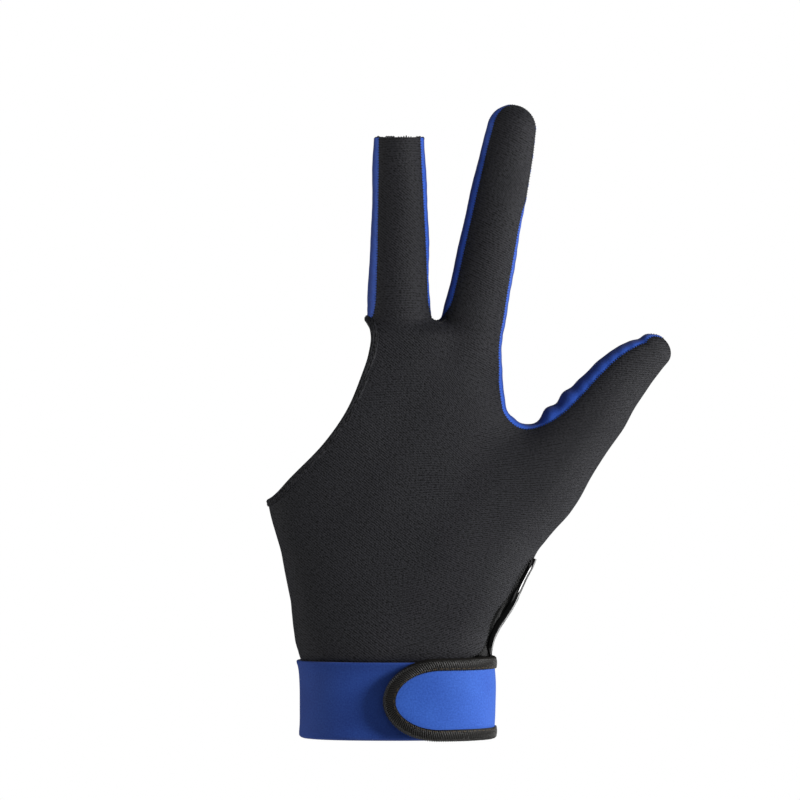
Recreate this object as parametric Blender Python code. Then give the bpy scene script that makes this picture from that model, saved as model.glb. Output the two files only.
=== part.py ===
"""A billiard glove for the left hand, in the hollow form it has when it is worn.

The middle finger is open at its tip, the index finger and the thumb are closed, and the little-finger side
is cut away. Lengths are in metres, +Z runs from the wrist to the fingers, +X to the thumb, and -Y is the
back of the hand. The origin is the centre of the wrist opening, at the bottom edge of the cuff.
"""

import math

import bmesh
import bpy
import numpy as np
from mathutils.geometry import delaunay_2d_cdt

# Cuff and closing tab
CUFF_WIDTH = 0.0629
CUFF_DEPTH = 0.0440
CUFF_HEIGHT = 0.0256
CUFF_WALL = 0.0022
CUFF_BEVEL = 0.0006
TAB_HEIGHT = 0.0268
TAB_ROUND = 0.0170
BINDING_WIDTH = 0.0037
BINDING_WALL = 0.0006
HOOK_LENGTH = 0.0200
HOOK_HEIGHT = 0.0140
HOOK_WALL = 0.0006

# Hand of the glove
PALM_LENGTH = 0.1090
PALM_WIDTH = 0.0780
PALM_DEPTH = 0.0300
MIDDLE_LENGTH = 0.0580
INDEX_LENGTH = 0.0715
FINGER_WIDTH = 0.0200
FINGER_DEPTH = 0.0180
INDEX_LEAN = math.radians(11.3)
THUMB_LENGTH = 0.0600
THUMB_WIDTH = 0.0220
THUMB_DEPTH = 0.0200
THUMB_LEAN = math.radians(39.9)
FINGER_CURL = 0.0050
THUMB_DROP = 0.0100
# Where the fingers' curl begins, as a share of the height of the palm's top, where the thumb's drop begins,
# as a share of the palm's width, and over how much of the palm's length past its top the drop fades
CURL_START = 0.8
DROP_START = 0.35
DROP_FADE = 0.2

# Cloth
KNIT_WALL = 0.0010
HEM_WIDTH = 0.0024
HEM_WALL = 0.0016
HEM_RISE = 0.0003
FACING_WALL = 0.0009
FACING_DEPTH = 0.0021
FACING_UNDER = 0.0026
TUCK = 0.0060
GAP = 0.0003

# How far the tab stands off the band it lies on, for the binding's fold and the hooks between them
LAP = CUFF_WALL + BINDING_WALL + 3 * GAP

# Turns round the cuff, from 0 at the thumb by the palm: the tab's tip, where its binding ends, where the
# band starts and ends its move inwards, its end under the tab, and the middle of the hooks
TAB_TIP_TURN = 0.743
TAB_ROOT_TURN = 1.030
LAP_FROM = 1.040
LAP_TO = 1.230
BAND_END_TURN = 1.934
HOOK_TURN = 0.845
# How many times faster than the band runs its height eases from the tab's to its own
NARROW_RATE = 6
TAB_STATIONS = 20
BAND_STATIONS = 44
BINDING_STATIONS = 26
HOOK_STATIONS = 9

# Mesh
CLOTH_STEP = 0.0080
EDGE_STEP = 0.0030
PROFILE_SAMPLES = 241
BACK, PALM_SIDE = -1, 1

# Where the fingers and the thumb spring from, the bottom of the fork between the fingers, and the bottom
# of the web to the thumb, as shares of the palm's width and length
MIDDLE_ROOT = (0.014, 1.000)
INDEX_ROOT = (0.319, 1.000)
THUMB_ROOT = (0.662, 0.588)
CROTCH = (0.172, 1.000)
WEB = (0.530, 0.690)

# Slices of each form: share of its length, shift of its middle, half width, depth to the back, depth to
# the palm. The palm's shift and width are shares of the palm's width, and its depths of its depth.
PALM_SLICES = (
    # along, shift, width, back, palm
    (-0.075, -0.026, 0.337, 0.505, 0.640),
    (0.005, -0.026, 0.337, 0.505, 0.640),
    (0.022, -0.026, 0.380, 0.575, 0.660),
    (0.045, 0.001, 0.412, 0.610, 0.660),
    (0.090, 0.006, 0.426, 0.610, 0.650),
    (0.180, 0.042, 0.475, 0.585, 0.640),
    (0.300, 0.040, 0.506, 0.540, 0.640),
    (0.450, 0.008, 0.530, 0.500, 0.600),
    (0.600, -0.028, 0.522, 0.470, 0.540),
    (0.680, -0.027, 0.515, 0.460, 0.510),
    (0.740, -0.041, 0.497, 0.450, 0.490),
    (0.800, -0.042, 0.483, 0.430, 0.465),
    (0.860, -0.037, 0.472, 0.420, 0.440),
    (0.935, -0.010, 0.425, 0.380, 0.380),
)
MIDDLE_SLICES = (
    (-0.500, 0.000, 0.505, 0.500, 0.500),
    (0.000, 0.000, 0.505, 0.520, 0.500),
    (0.250, 0.000, 0.488, 0.490, 0.480),
    (0.600, 0.000, 0.452, 0.480, 0.460),
    (1.000, 0.000, 0.406, 0.440, 0.430),
    (1.100, 0.000, 0.400, 0.430, 0.420),
)
INDEX_SLICES = (
    (-0.500, 0.000, 0.515, 0.500, 0.500),
    (0.000, 0.000, 0.510, 0.520, 0.500),
    (0.150, 0.000, 0.488, 0.490, 0.480),
    (0.450, 0.000, 0.458, 0.480, 0.460),
    (0.750, 0.000, 0.425, 0.450, 0.440),
    (0.868, 0.000, 0.390, 0.420, 0.410),
)
THUMB_SLICES = (
    (-0.650, -0.220, 0.700, 0.560, 0.850),
    (-0.370, -0.210, 0.765, 0.580, 0.900),
    (-0.080, -0.085, 0.690, 0.560, 0.800),
    (0.040, -0.045, 0.590, 0.540, 0.680),
    (0.200, -0.030, 0.516, 0.510, 0.560),
    (0.340, -0.025, 0.478, 0.490, 0.500),
    (0.480, -0.048, 0.430, 0.460, 0.470),
    (0.613, -0.045, 0.386, 0.420, 0.430),
    (0.733, 0.035, 0.300, 0.370, 0.380),
)
PALM_TOP_CAP = 0.0070
FINGER_CAP = 0.0078
THUMB_CAP = 0.0072
PALM_POWER = 2.3
THUMB_BLEND = 0.0100
FINGER_BLEND = 0.0032
CROTCH_BLEND = 0.0016

# Rows of points where a panel turns over the outline, as shares of half the finger's depth
TURN_ROWS = (0.28, 0.60, 0.86)
# Rows of points where the cloth bulges over the cuff, as shares of the palm's length
BULGE_ROWS = (0.004, 0.013, 0.023, 0.046)
ROW_CLEAR = 0.12
STRIP_ROWS = 5
HEM_STATIONS = 56

# Side seams: share of the way along, seam on the back and seam on the palm, as shares of half the
# finger's depth. The blue strips fill the space between the two seams.
OUTER_SEAMS = (
    (0.00, 0.00, 0.00),
    (0.02, 0.05, 0.05),
    (0.08, 0.66, 0.60),
    (0.50, 0.70, 0.62),
    (1.00, 0.60, 0.60),
)
CROTCH_SEAMS = (
    (0.00, 0.48, 0.60),
    (0.38, 0.44, 0.62),
    (0.45, 0.40, 0.62),
    (0.52, 0.58, 0.62),
    (0.75, 0.68, 0.62),
    (0.93, 0.60, 0.56),
    (1.00, 0.16, 0.40),
)
WEB_SEAMS = (
    (0.00, 0.06, 0.40),
    (0.20, 0.05, 0.56),
    (0.26, 0.24, 0.62),
    (0.38, 0.40, 0.62),
    (0.56, 0.42, 0.66),
    (0.66, 0.62, 0.66),
    (0.76, 0.76, 0.66),
    (0.92, 0.66, 0.56),
    (0.97, 0.06, 0.06),
    (1.00, 0.00, 0.00),
)
WRIST_SEAMS = (
    (0.00, 0.00, 0.00),
    (0.10, 0.00, 0.50),
    (1.00, 0.00, 0.60),
)

# The edge of the cut-away side, as shares of the palm's width and length
OPENING_EDGE = (
    (-0.535, 0.470),
    (-0.513, 0.479),
    (-0.433, 0.537),
    (-0.288, 0.644),
    (-0.197, 0.740),
    (-0.145, 0.828),
    (-0.112, 0.901),
    (-0.103, 0.945),
    (-0.107, 0.972),
    (-0.124, 0.995),
    (-0.152, 1.010),
    (-0.200, 1.022),
)
# The slit at the wrist: the ends of its facing as shares of the palm's length, and its edge on the back as
# shares of the palm's width and length
FACING_TOP = 0.330
FACING_LOW = 0.038
SLIT_EDGE = (
    (0.553, 0.299),
    (0.510, 0.253),
    (0.452, 0.187),
    (0.406, 0.146),
    (0.383, 0.109),
    (0.370, 0.068),
    (0.338, 0.024),
    (0.285, 0.004),
    (0.280, -0.055),
)


def smooth_table(rows):
    """The rows' columns at even steps of the first, on a curve that doesn't overshoot them."""
    rows = np.array(rows)
    at, values = rows[:, 0], rows[:, 1:]
    width = np.diff(at)[:, None]
    slope = np.diff(values, axis=0) / width
    tangent = np.zeros_like(values)
    tangent[0], tangent[-1] = slope[0], slope[-1]
    same = slope[:-1] * slope[1:] > 0
    heavy, light = width[1:] * 2 + width[:-1], width[1:] + width[:-1] * 2
    mean = heavy / np.where(same, slope[:-1], 1) + light / np.where(same, slope[1:], 1)
    tangent[1:-1] = np.where(same, (heavy + light) / np.where(same, mean, 1), 0)
    steps = np.linspace(at[0], at[-1], PROFILE_SAMPLES)
    i = np.clip(np.searchsorted(at, steps) - 1, 0, len(at) - 2)
    a = ((steps - at[i]) / (at[i + 1] - at[i]))[:, None]
    start = (1 + 2 * a) * (1 - a) ** 2 * values[i] + a * (1 - a) ** 2 * width[i] * tangent[i]
    end = a * a * (3 - 2 * a) * values[i + 1] + a * a * (a - 1) * width[i] * tangent[i + 1]
    return steps, start + end


class Limb:
    """A form made of slices along a straight axis, each half an ellipse to the back and half to the palm."""

    def __init__(self, root, lean, length, width, depth, slices, caps, power=2.0):
        self.root = np.array(root)
        self.along = np.array((math.sin(lean), math.cos(lean)))
        self.across = np.array((math.cos(lean), -math.sin(lean)))
        self.length = length
        self.at, columns = smooth_table(slices)
        self.columns = columns * (width, width, depth, depth)
        self.caps = caps
        self.power = power

    def slice(self, share):
        return [np.interp(share, self.at, self.columns[:, k]) for k in range(4)]

    def value(self, x, y, z):
        """Below 0 inside the form, above 0 outside, and near the distance to it."""
        px, pz = x - self.root[0], z - self.root[1]
        share = (px * self.along[0] + pz * self.along[1]) / self.length
        shift, width, back, palm = self.slice(share)
        sideways = px * self.across[0] + pz * self.across[1] - shift
        below = np.maximum(self.at[0] - share, 0) * self.length
        past = below + np.maximum(share - self.at[-1], 0) * self.length
        cap = np.where(below > 0, self.caps[0], self.caps[1])
        depth = np.where(y < 0, back, palm)
        terms = np.abs(sideways / width) ** self.power + np.abs(y / depth) ** self.power
        ratio = np.maximum((terms + (past / cap) ** self.power) ** (1 / self.power), 1e-6)
        reach = np.sqrt(sideways**2 + y**2 + past**2)
        return reach - reach / ratio

    def side(self, start, end, way, count):
        """Points in plan along one side, from one share of the length to another."""
        share = np.linspace(start, end, count)[:, None]
        shift, width, _, _ = self.slice(share)
        return self.root + self.along * share * self.length + self.across * (shift + way * width)

    def tip(self):
        """The plan point at the far end of the cap."""
        reach = self.at[-1] * self.length + self.caps[1]
        return (self.root + self.along * reach + self.across * self.columns[-1, 0])[None]


def palm_point(width_share, length_share):
    return np.array((width_share * PALM_WIDTH, CUFF_HEIGHT + length_share * PALM_LENGTH))


PALM = Limb(palm_point(0, 0), 0.0, PALM_LENGTH, PALM_WIDTH, PALM_DEPTH, PALM_SLICES,
            (PALM_TOP_CAP, PALM_TOP_CAP), PALM_POWER)
MIDDLE = Limb(palm_point(*MIDDLE_ROOT), 0.0, MIDDLE_LENGTH, FINGER_WIDTH, FINGER_DEPTH, MIDDLE_SLICES,
              (FINGER_CAP, FINGER_CAP))
INDEX = Limb(palm_point(*INDEX_ROOT), INDEX_LEAN, INDEX_LENGTH, FINGER_WIDTH, FINGER_DEPTH, INDEX_SLICES,
             (FINGER_CAP, FINGER_CAP))
THUMB = Limb(palm_point(*THUMB_ROOT), THUMB_LEAN, THUMB_LENGTH, THUMB_WIDTH, THUMB_DEPTH, THUMB_SLICES,
             (THUMB_WIDTH, THUMB_CAP))


def blend(first, second, size):
    """The union of two forms, with a fillet of about this size between them."""
    share = np.clip(0.5 + 0.5 * (second - first) / size, 0, 1)
    return second * (1 - share) + first * share - size * share * (1 - share)


def form(x, y, z):
    """The hand that fills the glove: 0 on the cloth's outer face, below 0 inside."""
    palm = blend(PALM.value(x, y, z), THUMB.value(x, y, z), THUMB_BLEND)
    fingers = blend(MIDDLE.value(x, y, z), INDEX.value(x, y, z), CROTCH_BLEND)
    return blend(palm, fingers, FINGER_BLEND)


def bent(points):
    """The points with the fingers curled a little and the thumb dropped towards the palm."""
    points = np.array(points)
    top = CUFF_HEIGHT + PALM_LENGTH
    curl = np.clip((points[..., 2] - CURL_START * top) / INDEX_LENGTH, 0, None)
    drop = np.clip((points[..., 0] - DROP_START * PALM_WIDTH) / THUMB_LENGTH, 0, None)
    low = np.clip((top + DROP_FADE * PALM_LENGTH - points[..., 2]) / PALM_LENGTH, 0, 1)
    points[..., 1] += FINGER_CURL * curl**2 + THUMB_DROP * drop**2 * low * (3 - 2 * low)
    return points


def plan_slope(plan, y):
    step = 2e-5
    x, z = plan.T
    return np.stack((form(x + step, y, z) - form(x - step, y, z),
                     form(x, y, z + step) - form(x, y, z - step)), 1) / (2 * step)


# Rounds in which a point is settled on the form, the flattest slope that it trusts, and its longest move
SETTLE_ROUNDS = 14
LEAST_SLOPE = 0.05
LONGEST_MOVE = 0.002


def settle(plan, y, depth=0.0):
    """Plan points moved square to the outline until they lie on the form, or under it, at height y."""
    plan = np.array(plan)
    for _ in range(SETTLE_ROUNDS):
        slope = plan_slope(plan, y)
        steep = np.maximum((slope**2).sum(1), LEAST_SLOPE)
        move = (form(plan[:, 0], y, plan[:, 1]) + depth) / steep
        plan -= slope * np.clip(move, -LONGEST_MOVE, LONGEST_MOVE)[:, None]
    return plan


def climb(plan, y, depth=0.0):
    """Outline points carried over the form's side to the heights y, in steps."""
    for share in np.linspace(0, 1, 7)[1:]:
        plan = settle(plan, y * share, depth)
    return plan


def height(plan, side, depth=0.0):
    """The form's height over plan points, on the back or on the palm."""
    low, high = np.zeros(len(plan)), np.full(len(plan), PALM_DEPTH)
    for _ in range(40):
        middle = (low + high) / 2
        within = form(plan[:, 0], side * middle, plan[:, 1]) + depth < 0
        low, high = np.where(within, middle, low), np.where(within, high, middle)
    return side * (low + high) / 2


def distances(line):
    """The way to each point of a polyline from its start."""
    return np.concatenate(([0], np.cumsum(np.linalg.norm(np.diff(line, axis=0), axis=1))))


def resample(line, step=None, count=None):
    """A polyline at even steps, its two ends kept."""
    line = np.array(line)
    way = distances(line)
    count = count or max(int(round(way[-1] / step)) + 1, 3)
    at = np.linspace(0, way[-1], count)
    return np.stack([np.interp(at, way, line[:, k]) for k in range(line.shape[1])], 1)


def form_slope(points):
    """The outward direction of the form at points in space."""
    step = 2e-5
    x, y, z = points.T
    slope = np.stack((form(x + step, y, z) - form(x - step, y, z),
                      form(x, y + step, z) - form(x, y - step, z),
                      form(x, y, z + step) - form(x, y, z - step)), 1)
    return slope / np.linalg.norm(slope, axis=1, keepdims=True)


def onto_form(points, depth=0.0):
    """Points in space moved square to the form until they lie on it, or a depth under it."""
    for _ in range(12):
        value = form(*points.T) + depth
        points = points - form_slope(points) * np.clip(value, -0.001, 0.001)[:, None]
    return points


def opening_line():
    """The cut-away edge in plan, between the two places where it crosses the outline."""
    points = np.array([palm_point(*row) for row in OPENING_EDGE])
    line = resample(smooth_table(np.column_stack((distances(points), points)))[1], count=20 * PROFILE_SAMPLES)
    return line[form(line[:, 0], 0.0, line[:, 1]) < 0]


def opening_loop(count, offset):
    """A closed line round the cut-away side, on the form and this far inside the cloth's edge.

    It runs up the back from the little-finger side, through the fingers' root and down the palm.
    """
    line = opening_line()
    turn = np.arange(count) / count * 2 * math.pi
    at = (1 - np.cos(turn)) / 2 * (len(line) - 1)
    plan = np.stack([np.interp(at, np.arange(len(line)), line[:, k]) for k in (0, 1)], 1)
    side = np.where(turn < math.pi, -1.0, 1.0)
    loop = np.column_stack((plan[:, 0], height(plan, side), plan[:, 1]))
    ahead = np.roll(loop, -1, 0) - np.roll(loop, 1, 0)
    inward = np.cross(ahead, form_slope(loop))
    inward /= np.linalg.norm(inward, axis=1, keepdims=True)
    return onto_form(loop + inward * offset)


def crossings(loop):
    """Where a closed loop passes from the back to the palm: near the wrist, and near the fingers."""
    found = []
    for here, there in zip(loop, np.roll(loop, -1, 0)):
        if (here[1] < 0) != (there[1] < 0):
            share = here[1] / (here[1] - there[1])
            found.append((here + (there - here) * share)[[0, 2]])
    return sorted(found, key=lambda point: point[1])


def trimmed(line, length):
    """A polyline shortened by this much at each end."""
    line = line.copy()
    for end, next_point in ((0, 1), (-1, -2)):
        way = line[next_point] - line[end]
        line[end] += way * length / np.linalg.norm(way)
    return line


class Walk:
    """A stretch of the glove's outline, with the heights of the seams on its two sides."""

    def __init__(self, guide, seams, step):
        line = settle(resample(guide, step), 0.0)
        self.line = settle(resample(line, step), 0.0)
        seams = np.array(seams)
        at = distances(self.line) / distances(self.line)[-1]
        back, palm = [np.interp(at, seams[:, 0], seams[:, k]) * FINGER_DEPTH / 2 for k in (1, 2)]
        self.seam = {BACK: back, PALM_SIDE: palm}

    def edge(self, side):
        """A panel's edge along this walk, in plan."""
        return climb(self.line, side * (self.seam[side] + GAP / 2))

    def rows(self, side):
        """Points inside a panel where it turns over the outline, closer together towards its edge."""
        found = []
        for share in TURN_ROWS:
            level = share * FINGER_DEPTH / 2
            row = climb(self.line, np.full(len(self.line), side * level))
            found.append(row[level > self.seam[side] + ROW_CLEAR * FINGER_DEPTH / 2])
        return np.concatenate(found)

    def strip(self, rows):
        """The cloth strip between the two seams: its points in space, along the walk and across it."""
        keep = np.minimum(self.seam[BACK], self.seam[PALM_SIDE]) > GAP
        line = trimmed(self.line[keep], GAP / 2)
        back = self.seam[BACK][keep] - GAP / 2
        palm = self.seam[PALM_SIDE][keep] - GAP / 2
        grid = []
        for share in np.linspace(0, 1, rows):
            level = -back + (back + palm) * share
            plan = climb(line, level)
            grid.append(np.column_stack((plan[:, 0], level, plan[:, 1])))
        return np.stack(grid, 1)


def build_walks(loop, step):
    """The outline in order, seen from the back: up the little-finger side and round to the wrist's slit."""
    low, high = crossings(loop)
    plain = ((0.0, 0.0, 0.0), (1.0, 0.0, 0.0))
    index_tip = INDEX.tip()
    thumb_tip = THUMB.tip()
    start = -TUCK / PALM_LENGTH
    outline = {
        "ulnar": ([PALM.side(start, 0.40, -1, 30), [low]], plain),
        "outer": ([[high], MIDDLE.side(0.20, 1.0, -1, 12)], OUTER_SEAMS),
        "crotch": ([MIDDLE.side(1.0, 0.08, 1, 12), [palm_point(*CROTCH)], INDEX.side(0.08, 0.85, -1, 12),
                    index_tip], CROTCH_SEAMS),
        "web": ([index_tip, INDEX.side(0.85, -0.2, 1, 16), [palm_point(*WEB)], THUMB.side(0.15, 0.70, -1, 10),
                 thumb_tip], WEB_SEAMS),
        "thenar": ([thumb_tip, THUMB.side(0.70, -0.45, 1, 16), [palm_point(*SLIT_EDGE[0])]], plain),
        "wrist": ([[palm_point(*SLIT_EDGE[0])], PALM.side(0.25, start, 1, 16)], WRIST_SEAMS),
    }
    return {name: Walk(np.concatenate(guide), seams, step) for name, (guide, seams) in outline.items()}


def inside(points, polygon):
    """Whether plan points lie inside a closed polygon."""
    odd = np.zeros(len(points), bool)
    for (ax, az), (bx, bz) in zip(polygon, np.roll(polygon, -1, 0)):
        crosses = (az > points[:, 1]) != (bz > points[:, 1])
        if az != bz:
            odd ^= crosses & (points[:, 0] < ax + (points[:, 1] - az) / (bz - az) * (bx - ax))
    return odd


def spread(points, near, least):
    """The points that lie at least this far from all the near ones."""
    apart = np.linalg.norm(points[:, None] - near[None], axis=2).min(1)
    return points[apart >= least]


def panel_sheet(polygon, rows, side, step):
    """A panel's outer face: triangles over its plan, raised to the form."""
    polygon = spread_line(polygon, step * 0.1)
    low, high = polygon.min(0), polygon.max(0)
    x, z = np.meshgrid(np.arange(low[0], high[0], step), np.arange(low[1], high[1], step * 0.866))
    x[1::2] += step / 2
    grid = np.column_stack((x.ravel(), z.ravel()))
    rows = spread(rows[inside(rows, polygon)], polygon, GAP)
    grid = spread(grid[inside(grid, polygon)], np.concatenate((polygon, rows)), step * 0.5)
    plan = np.concatenate((polygon, rows, grid))
    ring = list(range(len(polygon)))
    result = delaunay_2d_cdt([tuple(point) for point in plan], [], [ring], 1, 1e-7)
    plan = np.array([tuple(point) for point in result[0]])
    points = np.column_stack((plan[:, 0], height(plan, np.full(len(plan), side)), plan[:, 1]))
    return points, [tuple(face) for face in result[2]]


def spread_line(line, least):
    """A closed line without points closer together than this."""
    kept = [line[0]]
    for point in line[1:]:
        if np.linalg.norm(point - kept[-1]) >= least:
            kept.append(point)
    if np.linalg.norm(kept[-1] - kept[0]) < least:
        kept.pop()
    return np.array(kept)


def slit_line(step):
    """The slit's edge on the back, from its tip down into the cuff."""
    points = np.array([palm_point(*row) for row in SLIT_EDGE])
    return resample(smooth_table(np.column_stack((distances(points), points)))[1], step)


def across_line(left, right, step):
    """A straight edge in plan between two edges, without its ends."""
    return resample(np.array((left, right)), step)[1:-1]


def panel_outline(walks, loop, side, step):
    """A panel's closed edge in plan, and the rows of points that shape its turned sides."""
    half = len(loop) // 2
    on_side = loop[: half + 1] if side == BACK else loop[half:][::-1]
    on_side = on_side[on_side[:, 1] * side > GAP * 2][:, [0, 2]]
    names = ["ulnar", "outer", "crotch", "web", "thenar"]
    edges = {name: walks[name].edge(side) for name in names}
    parts = [edges["ulnar"], on_side, edges["outer"],
             across_line(edges["outer"][-1], edges["crotch"][0], step),
             edges["crotch"], edges["web"][1:], edges["thenar"][1:]]
    if side == BACK:
        parts.append(slit_line(step)[1:])
    else:
        names.append("wrist")
        parts.append(walks["wrist"].edge(side)[1:])
    parts.append(across_line(parts[-1][-1], edges["ulnar"][0], step))
    rows = [walks[name].rows(side) for name in names]
    for share in BULGE_ROWS:
        left, right = PALM.side(share, share, -1, 1)[0], PALM.side(share, share, 1, 1)[0]
        rows.append(across_line(left, right, step * 1.5))
    return np.concatenate(parts), np.concatenate(rows)


def grid_faces(rows, columns, closed=False):
    """Four-sided faces of a grid of points, its columns joined up when closed."""
    faces = []
    for i in range(rows - 1):
        for j in range(columns if closed else columns - 1):
            k = (j + 1) % columns
            faces.append((i * columns + j, i * columns + k, (i + 1) * columns + k, (i + 1) * columns + j))
    return faces


def outward_faces(points, faces, outward):
    """The faces turned so that each looks along the outward directions at its corners."""
    turned = []
    for face in faces:
        a, b, c = (points[face[k]] for k in (0, 1, 2))
        looks_out = np.dot(np.cross(b - a, c - a), outward[list(face)].sum(0)) > 0
        turned.append(tuple(face) if looks_out else tuple(face)[::-1])
    return turned


def thicken(points, faces, wall, depth=0.0):
    """A cloth sheet with a wall behind it: its points and closed, outward faces."""
    outward = form_slope(points)
    faces = outward_faces(points, faces, outward)
    count = len(points)
    solid = np.concatenate((points, points - outward * wall))
    edges = {(a, b) for face in faces for a, b in zip(face, face[1:] + face[:1])}
    sides = [(b, a, a + count, b + count) for a, b in edges if (b, a) not in edges]
    backs = [tuple(corner + count for corner in face[::-1]) for face in faces]
    return bent(solid), faces + backs + sorted(sides)


def tube(rings):
    """A solid swept through closed rings of points, with a flat cap at each end."""
    rows, columns = rings.shape[:2]
    faces = grid_faces(rows, columns, closed=True)
    last = (rows - 1) * columns
    faces += [tuple(range(columns))[::-1], tuple(range(last, last + columns))]
    return rings.reshape(-1, 3), faces


def ring_loop(rings):
    """A solid swept through closed rings of points whose last ring joins the first."""
    rows, columns = rings.shape[:2]
    faces = []
    for i in range(rows):
        n = (i + 1) % rows
        for j in range(columns):
            k = (j + 1) % columns
            faces.append((i * columns + j, i * columns + k, n * columns + k, n * columns + j))
    return rings.reshape(-1, 3), faces


def add_piece(name, points, faces, material):
    """A named object from points and faces, its normals pointing out and its round sides smooth."""
    mesh = bpy.data.meshes.new(name)
    mesh.from_pydata([tuple(point) for point in points], [], faces)
    shape = bmesh.new()
    shape.from_mesh(mesh)
    bmesh.ops.recalc_face_normals(shape, faces=shape.faces)
    shape.to_mesh(mesh)
    shape.free()
    mesh.shade_smooth()
    mesh.set_sharp_from_angle(angle=math.radians(50))
    mesh.materials.append(material)
    piece = bpy.data.objects.new(name, mesh)
    bpy.context.scene.collection.objects.link(piece)
    return piece


def cloth_material(name, colour, roughness, metallic=0.0):
    material = bpy.data.materials.new(name)
    material.use_nodes = True
    shader = material.node_tree.nodes["Principled BSDF"]
    shader.inputs["Base Color"].default_value = (*colour, 1.0)
    shader.inputs["Roughness"].default_value = roughness
    shader.inputs["Metallic"].default_value = metallic
    return material


def cuff_half_axes():
    """Half the width and depth inside the cuff's first turn, and its middle."""
    half_width = (CUFF_WIDTH - 2 * CUFF_WALL - LAP) / 2
    half_depth = (CUFF_DEPTH - 2 * CUFF_WALL - LAP) / 2
    middle_x = -CUFF_WIDTH / 2 + CUFF_WALL + half_width
    middle_y = CUFF_DEPTH / 2 - CUFF_WALL - half_depth
    return half_width, half_depth, middle_x, middle_y


def cuff_point(turn, out, z):
    """A point on the cuff: turn is 0 at the thumb and a quarter at the palm, out the distance from the
    inner face of its first turn."""
    half_width, half_depth, middle_x, middle_y = cuff_half_axes()
    angle = turn * 2 * math.pi
    across, deep = math.cos(angle), math.sin(angle)
    power = 2 / PALM_POWER
    return (middle_x + (half_width + out) * math.copysign(abs(across) ** power, across),
            middle_y + (half_depth + out) * math.copysign(abs(deep) ** power, deep),
            z)


def ease(share):
    share = min(max(share, 0.0), 1.0)
    return share * share * (3 - 2 * share)


def lap_out(turn):
    """How far the band stands out: a whole lap at the tab, and nothing past the palm."""
    return LAP * (1 - ease((turn - LAP_FROM) / (LAP_TO - LAP_FROM)))


def tab_stations(count, inset=0.0):
    """Lengths from the tab's tip to the thumb side, closer together round the tip, and the turn at each."""
    turns = np.linspace(TAB_TIP_TURN, TAB_ROOT_TURN, PROFILE_SAMPLES)
    way = distances(np.array([cuff_point(turn, LAP, 0.0) for turn in turns]))
    lengths = inset + (way[-1] - inset) * (1 - np.cos(np.linspace(0, math.pi / 2, count)))
    return lengths, np.interp(lengths, way, turns)


def tab_half_height(length, inset=0.0):
    """Half the tab's height at a length from its tip: a round end that runs into straight sides."""
    share = min((length - inset) / (TAB_ROUND - inset), 1.0)
    return (TAB_HEIGHT / 2 - inset) * math.sqrt(max(1 - (1 - share) ** 2, 0.0))


def band_ring(turn, low, high):
    """The band's section at one turn, with bevelled corners, as a closed ring."""
    out = lap_out(turn)
    bevel = min(CUFF_BEVEL, (high - low) / 4)
    section = ((0, low + bevel), (bevel, low), (CUFF_WALL - bevel, low), (CUFF_WALL, low + bevel),
               (CUFF_WALL, high - bevel), (CUFF_WALL - bevel, high), (bevel, high), (0, high - bevel))
    return [cuff_point(turn, out + depth, z) for depth, z in section]


def make_cuff(material):
    """One neoprene band: from its round tab on the back, by the thumb and the palm, to the back again."""
    edge = BINDING_WALL + GAP
    middle = TAB_HEIGHT / 2
    rings = []
    for length, turn in list(zip(*tab_stations(TAB_STATIONS, edge)))[1:]:
        half = tab_half_height(length, edge)
        rings.append(band_ring(turn, middle - half, middle + half))
    for share in np.linspace(0, 1, BAND_STATIONS)[1:]:
        narrow = ease(share * NARROW_RATE)
        low = edge * (1 - narrow)
        high = (TAB_HEIGHT - edge) * (1 - narrow) + CUFF_HEIGHT * narrow
        rings.append(band_ring(TAB_ROOT_TURN + (BAND_END_TURN - TAB_ROOT_TURN) * share, low, high))
    return add_piece("cuff_band", *tube(np.array(rings)), material)


def binding_section():
    """The binding's C section: inset from the tab's edge, and depth from the band's inner face."""
    skin = BINDING_WALL
    outer, inner = CUFF_WALL + GAP, -GAP
    return ((0, skin), (0, CUFF_WALL - skin), (skin, outer + skin), (BINDING_WIDTH, outer + skin),
            (BINDING_WIDTH, outer), (skin, outer), (skin, inner), (BINDING_WIDTH, inner),
            (BINDING_WIDTH, inner - skin), (skin, inner - skin))


def make_binding(material):
    """The ribbed binding folded over the tab's edge: along the bottom, round the tip and back on top."""
    lengths, turns = tab_stations(BINDING_STATIONS)
    rises = np.array([tab_half_height(length) for length in lengths])
    middle = TAB_HEIGHT / 2
    path = np.concatenate((np.column_stack((lengths, middle - rises))[::-1],
                           np.column_stack((lengths, middle + rises))[1:]))
    along = np.gradient(path, axis=0)
    inward = np.column_stack((along[:, 1], -along[:, 0]))
    inward /= np.linalg.norm(inward, axis=1, keepdims=True)
    rings = []
    for place, way in zip(path, inward):
        ring = []
        for inset, depth in binding_section():
            length, z = place + way * inset
            ring.append(cuff_point(np.interp(length, lengths, turns), LAP + depth, z))
        rings.append(ring)
    return add_piece("tab_binding", *tube(np.array(rings)), material)


def make_hooks(material):
    """The plain pad of hooks between the tab and the band under it."""
    span = HOOK_LENGTH / (math.pi * (CUFF_WIDTH + CUFF_DEPTH) / 2)
    low, high = (TAB_HEIGHT - HOOK_HEIGHT) / 2, (TAB_HEIGHT + HOOK_HEIGHT) / 2
    inner = (CUFF_WALL + LAP - HOOK_WALL) / 2
    section = ((inner, low), (inner + HOOK_WALL, low), (inner + HOOK_WALL, high), (inner, high))
    rings = []
    for turn in HOOK_TURN + np.linspace(-span / 2, span / 2, HOOK_STATIONS):
        rings.append([cuff_point(turn, out, z) for out, z in section])
    return add_piece("hook_patch", *tube(np.array(rings)), material)


def make_panel(name, walks, loop, side, material):
    polygon, rows = panel_outline(walks, loop, side, EDGE_STEP)
    points, faces = panel_sheet(polygon, rows, side, CLOTH_STEP)
    return add_piece(name, *thicken(points, faces, KNIT_WALL), material)


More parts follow.
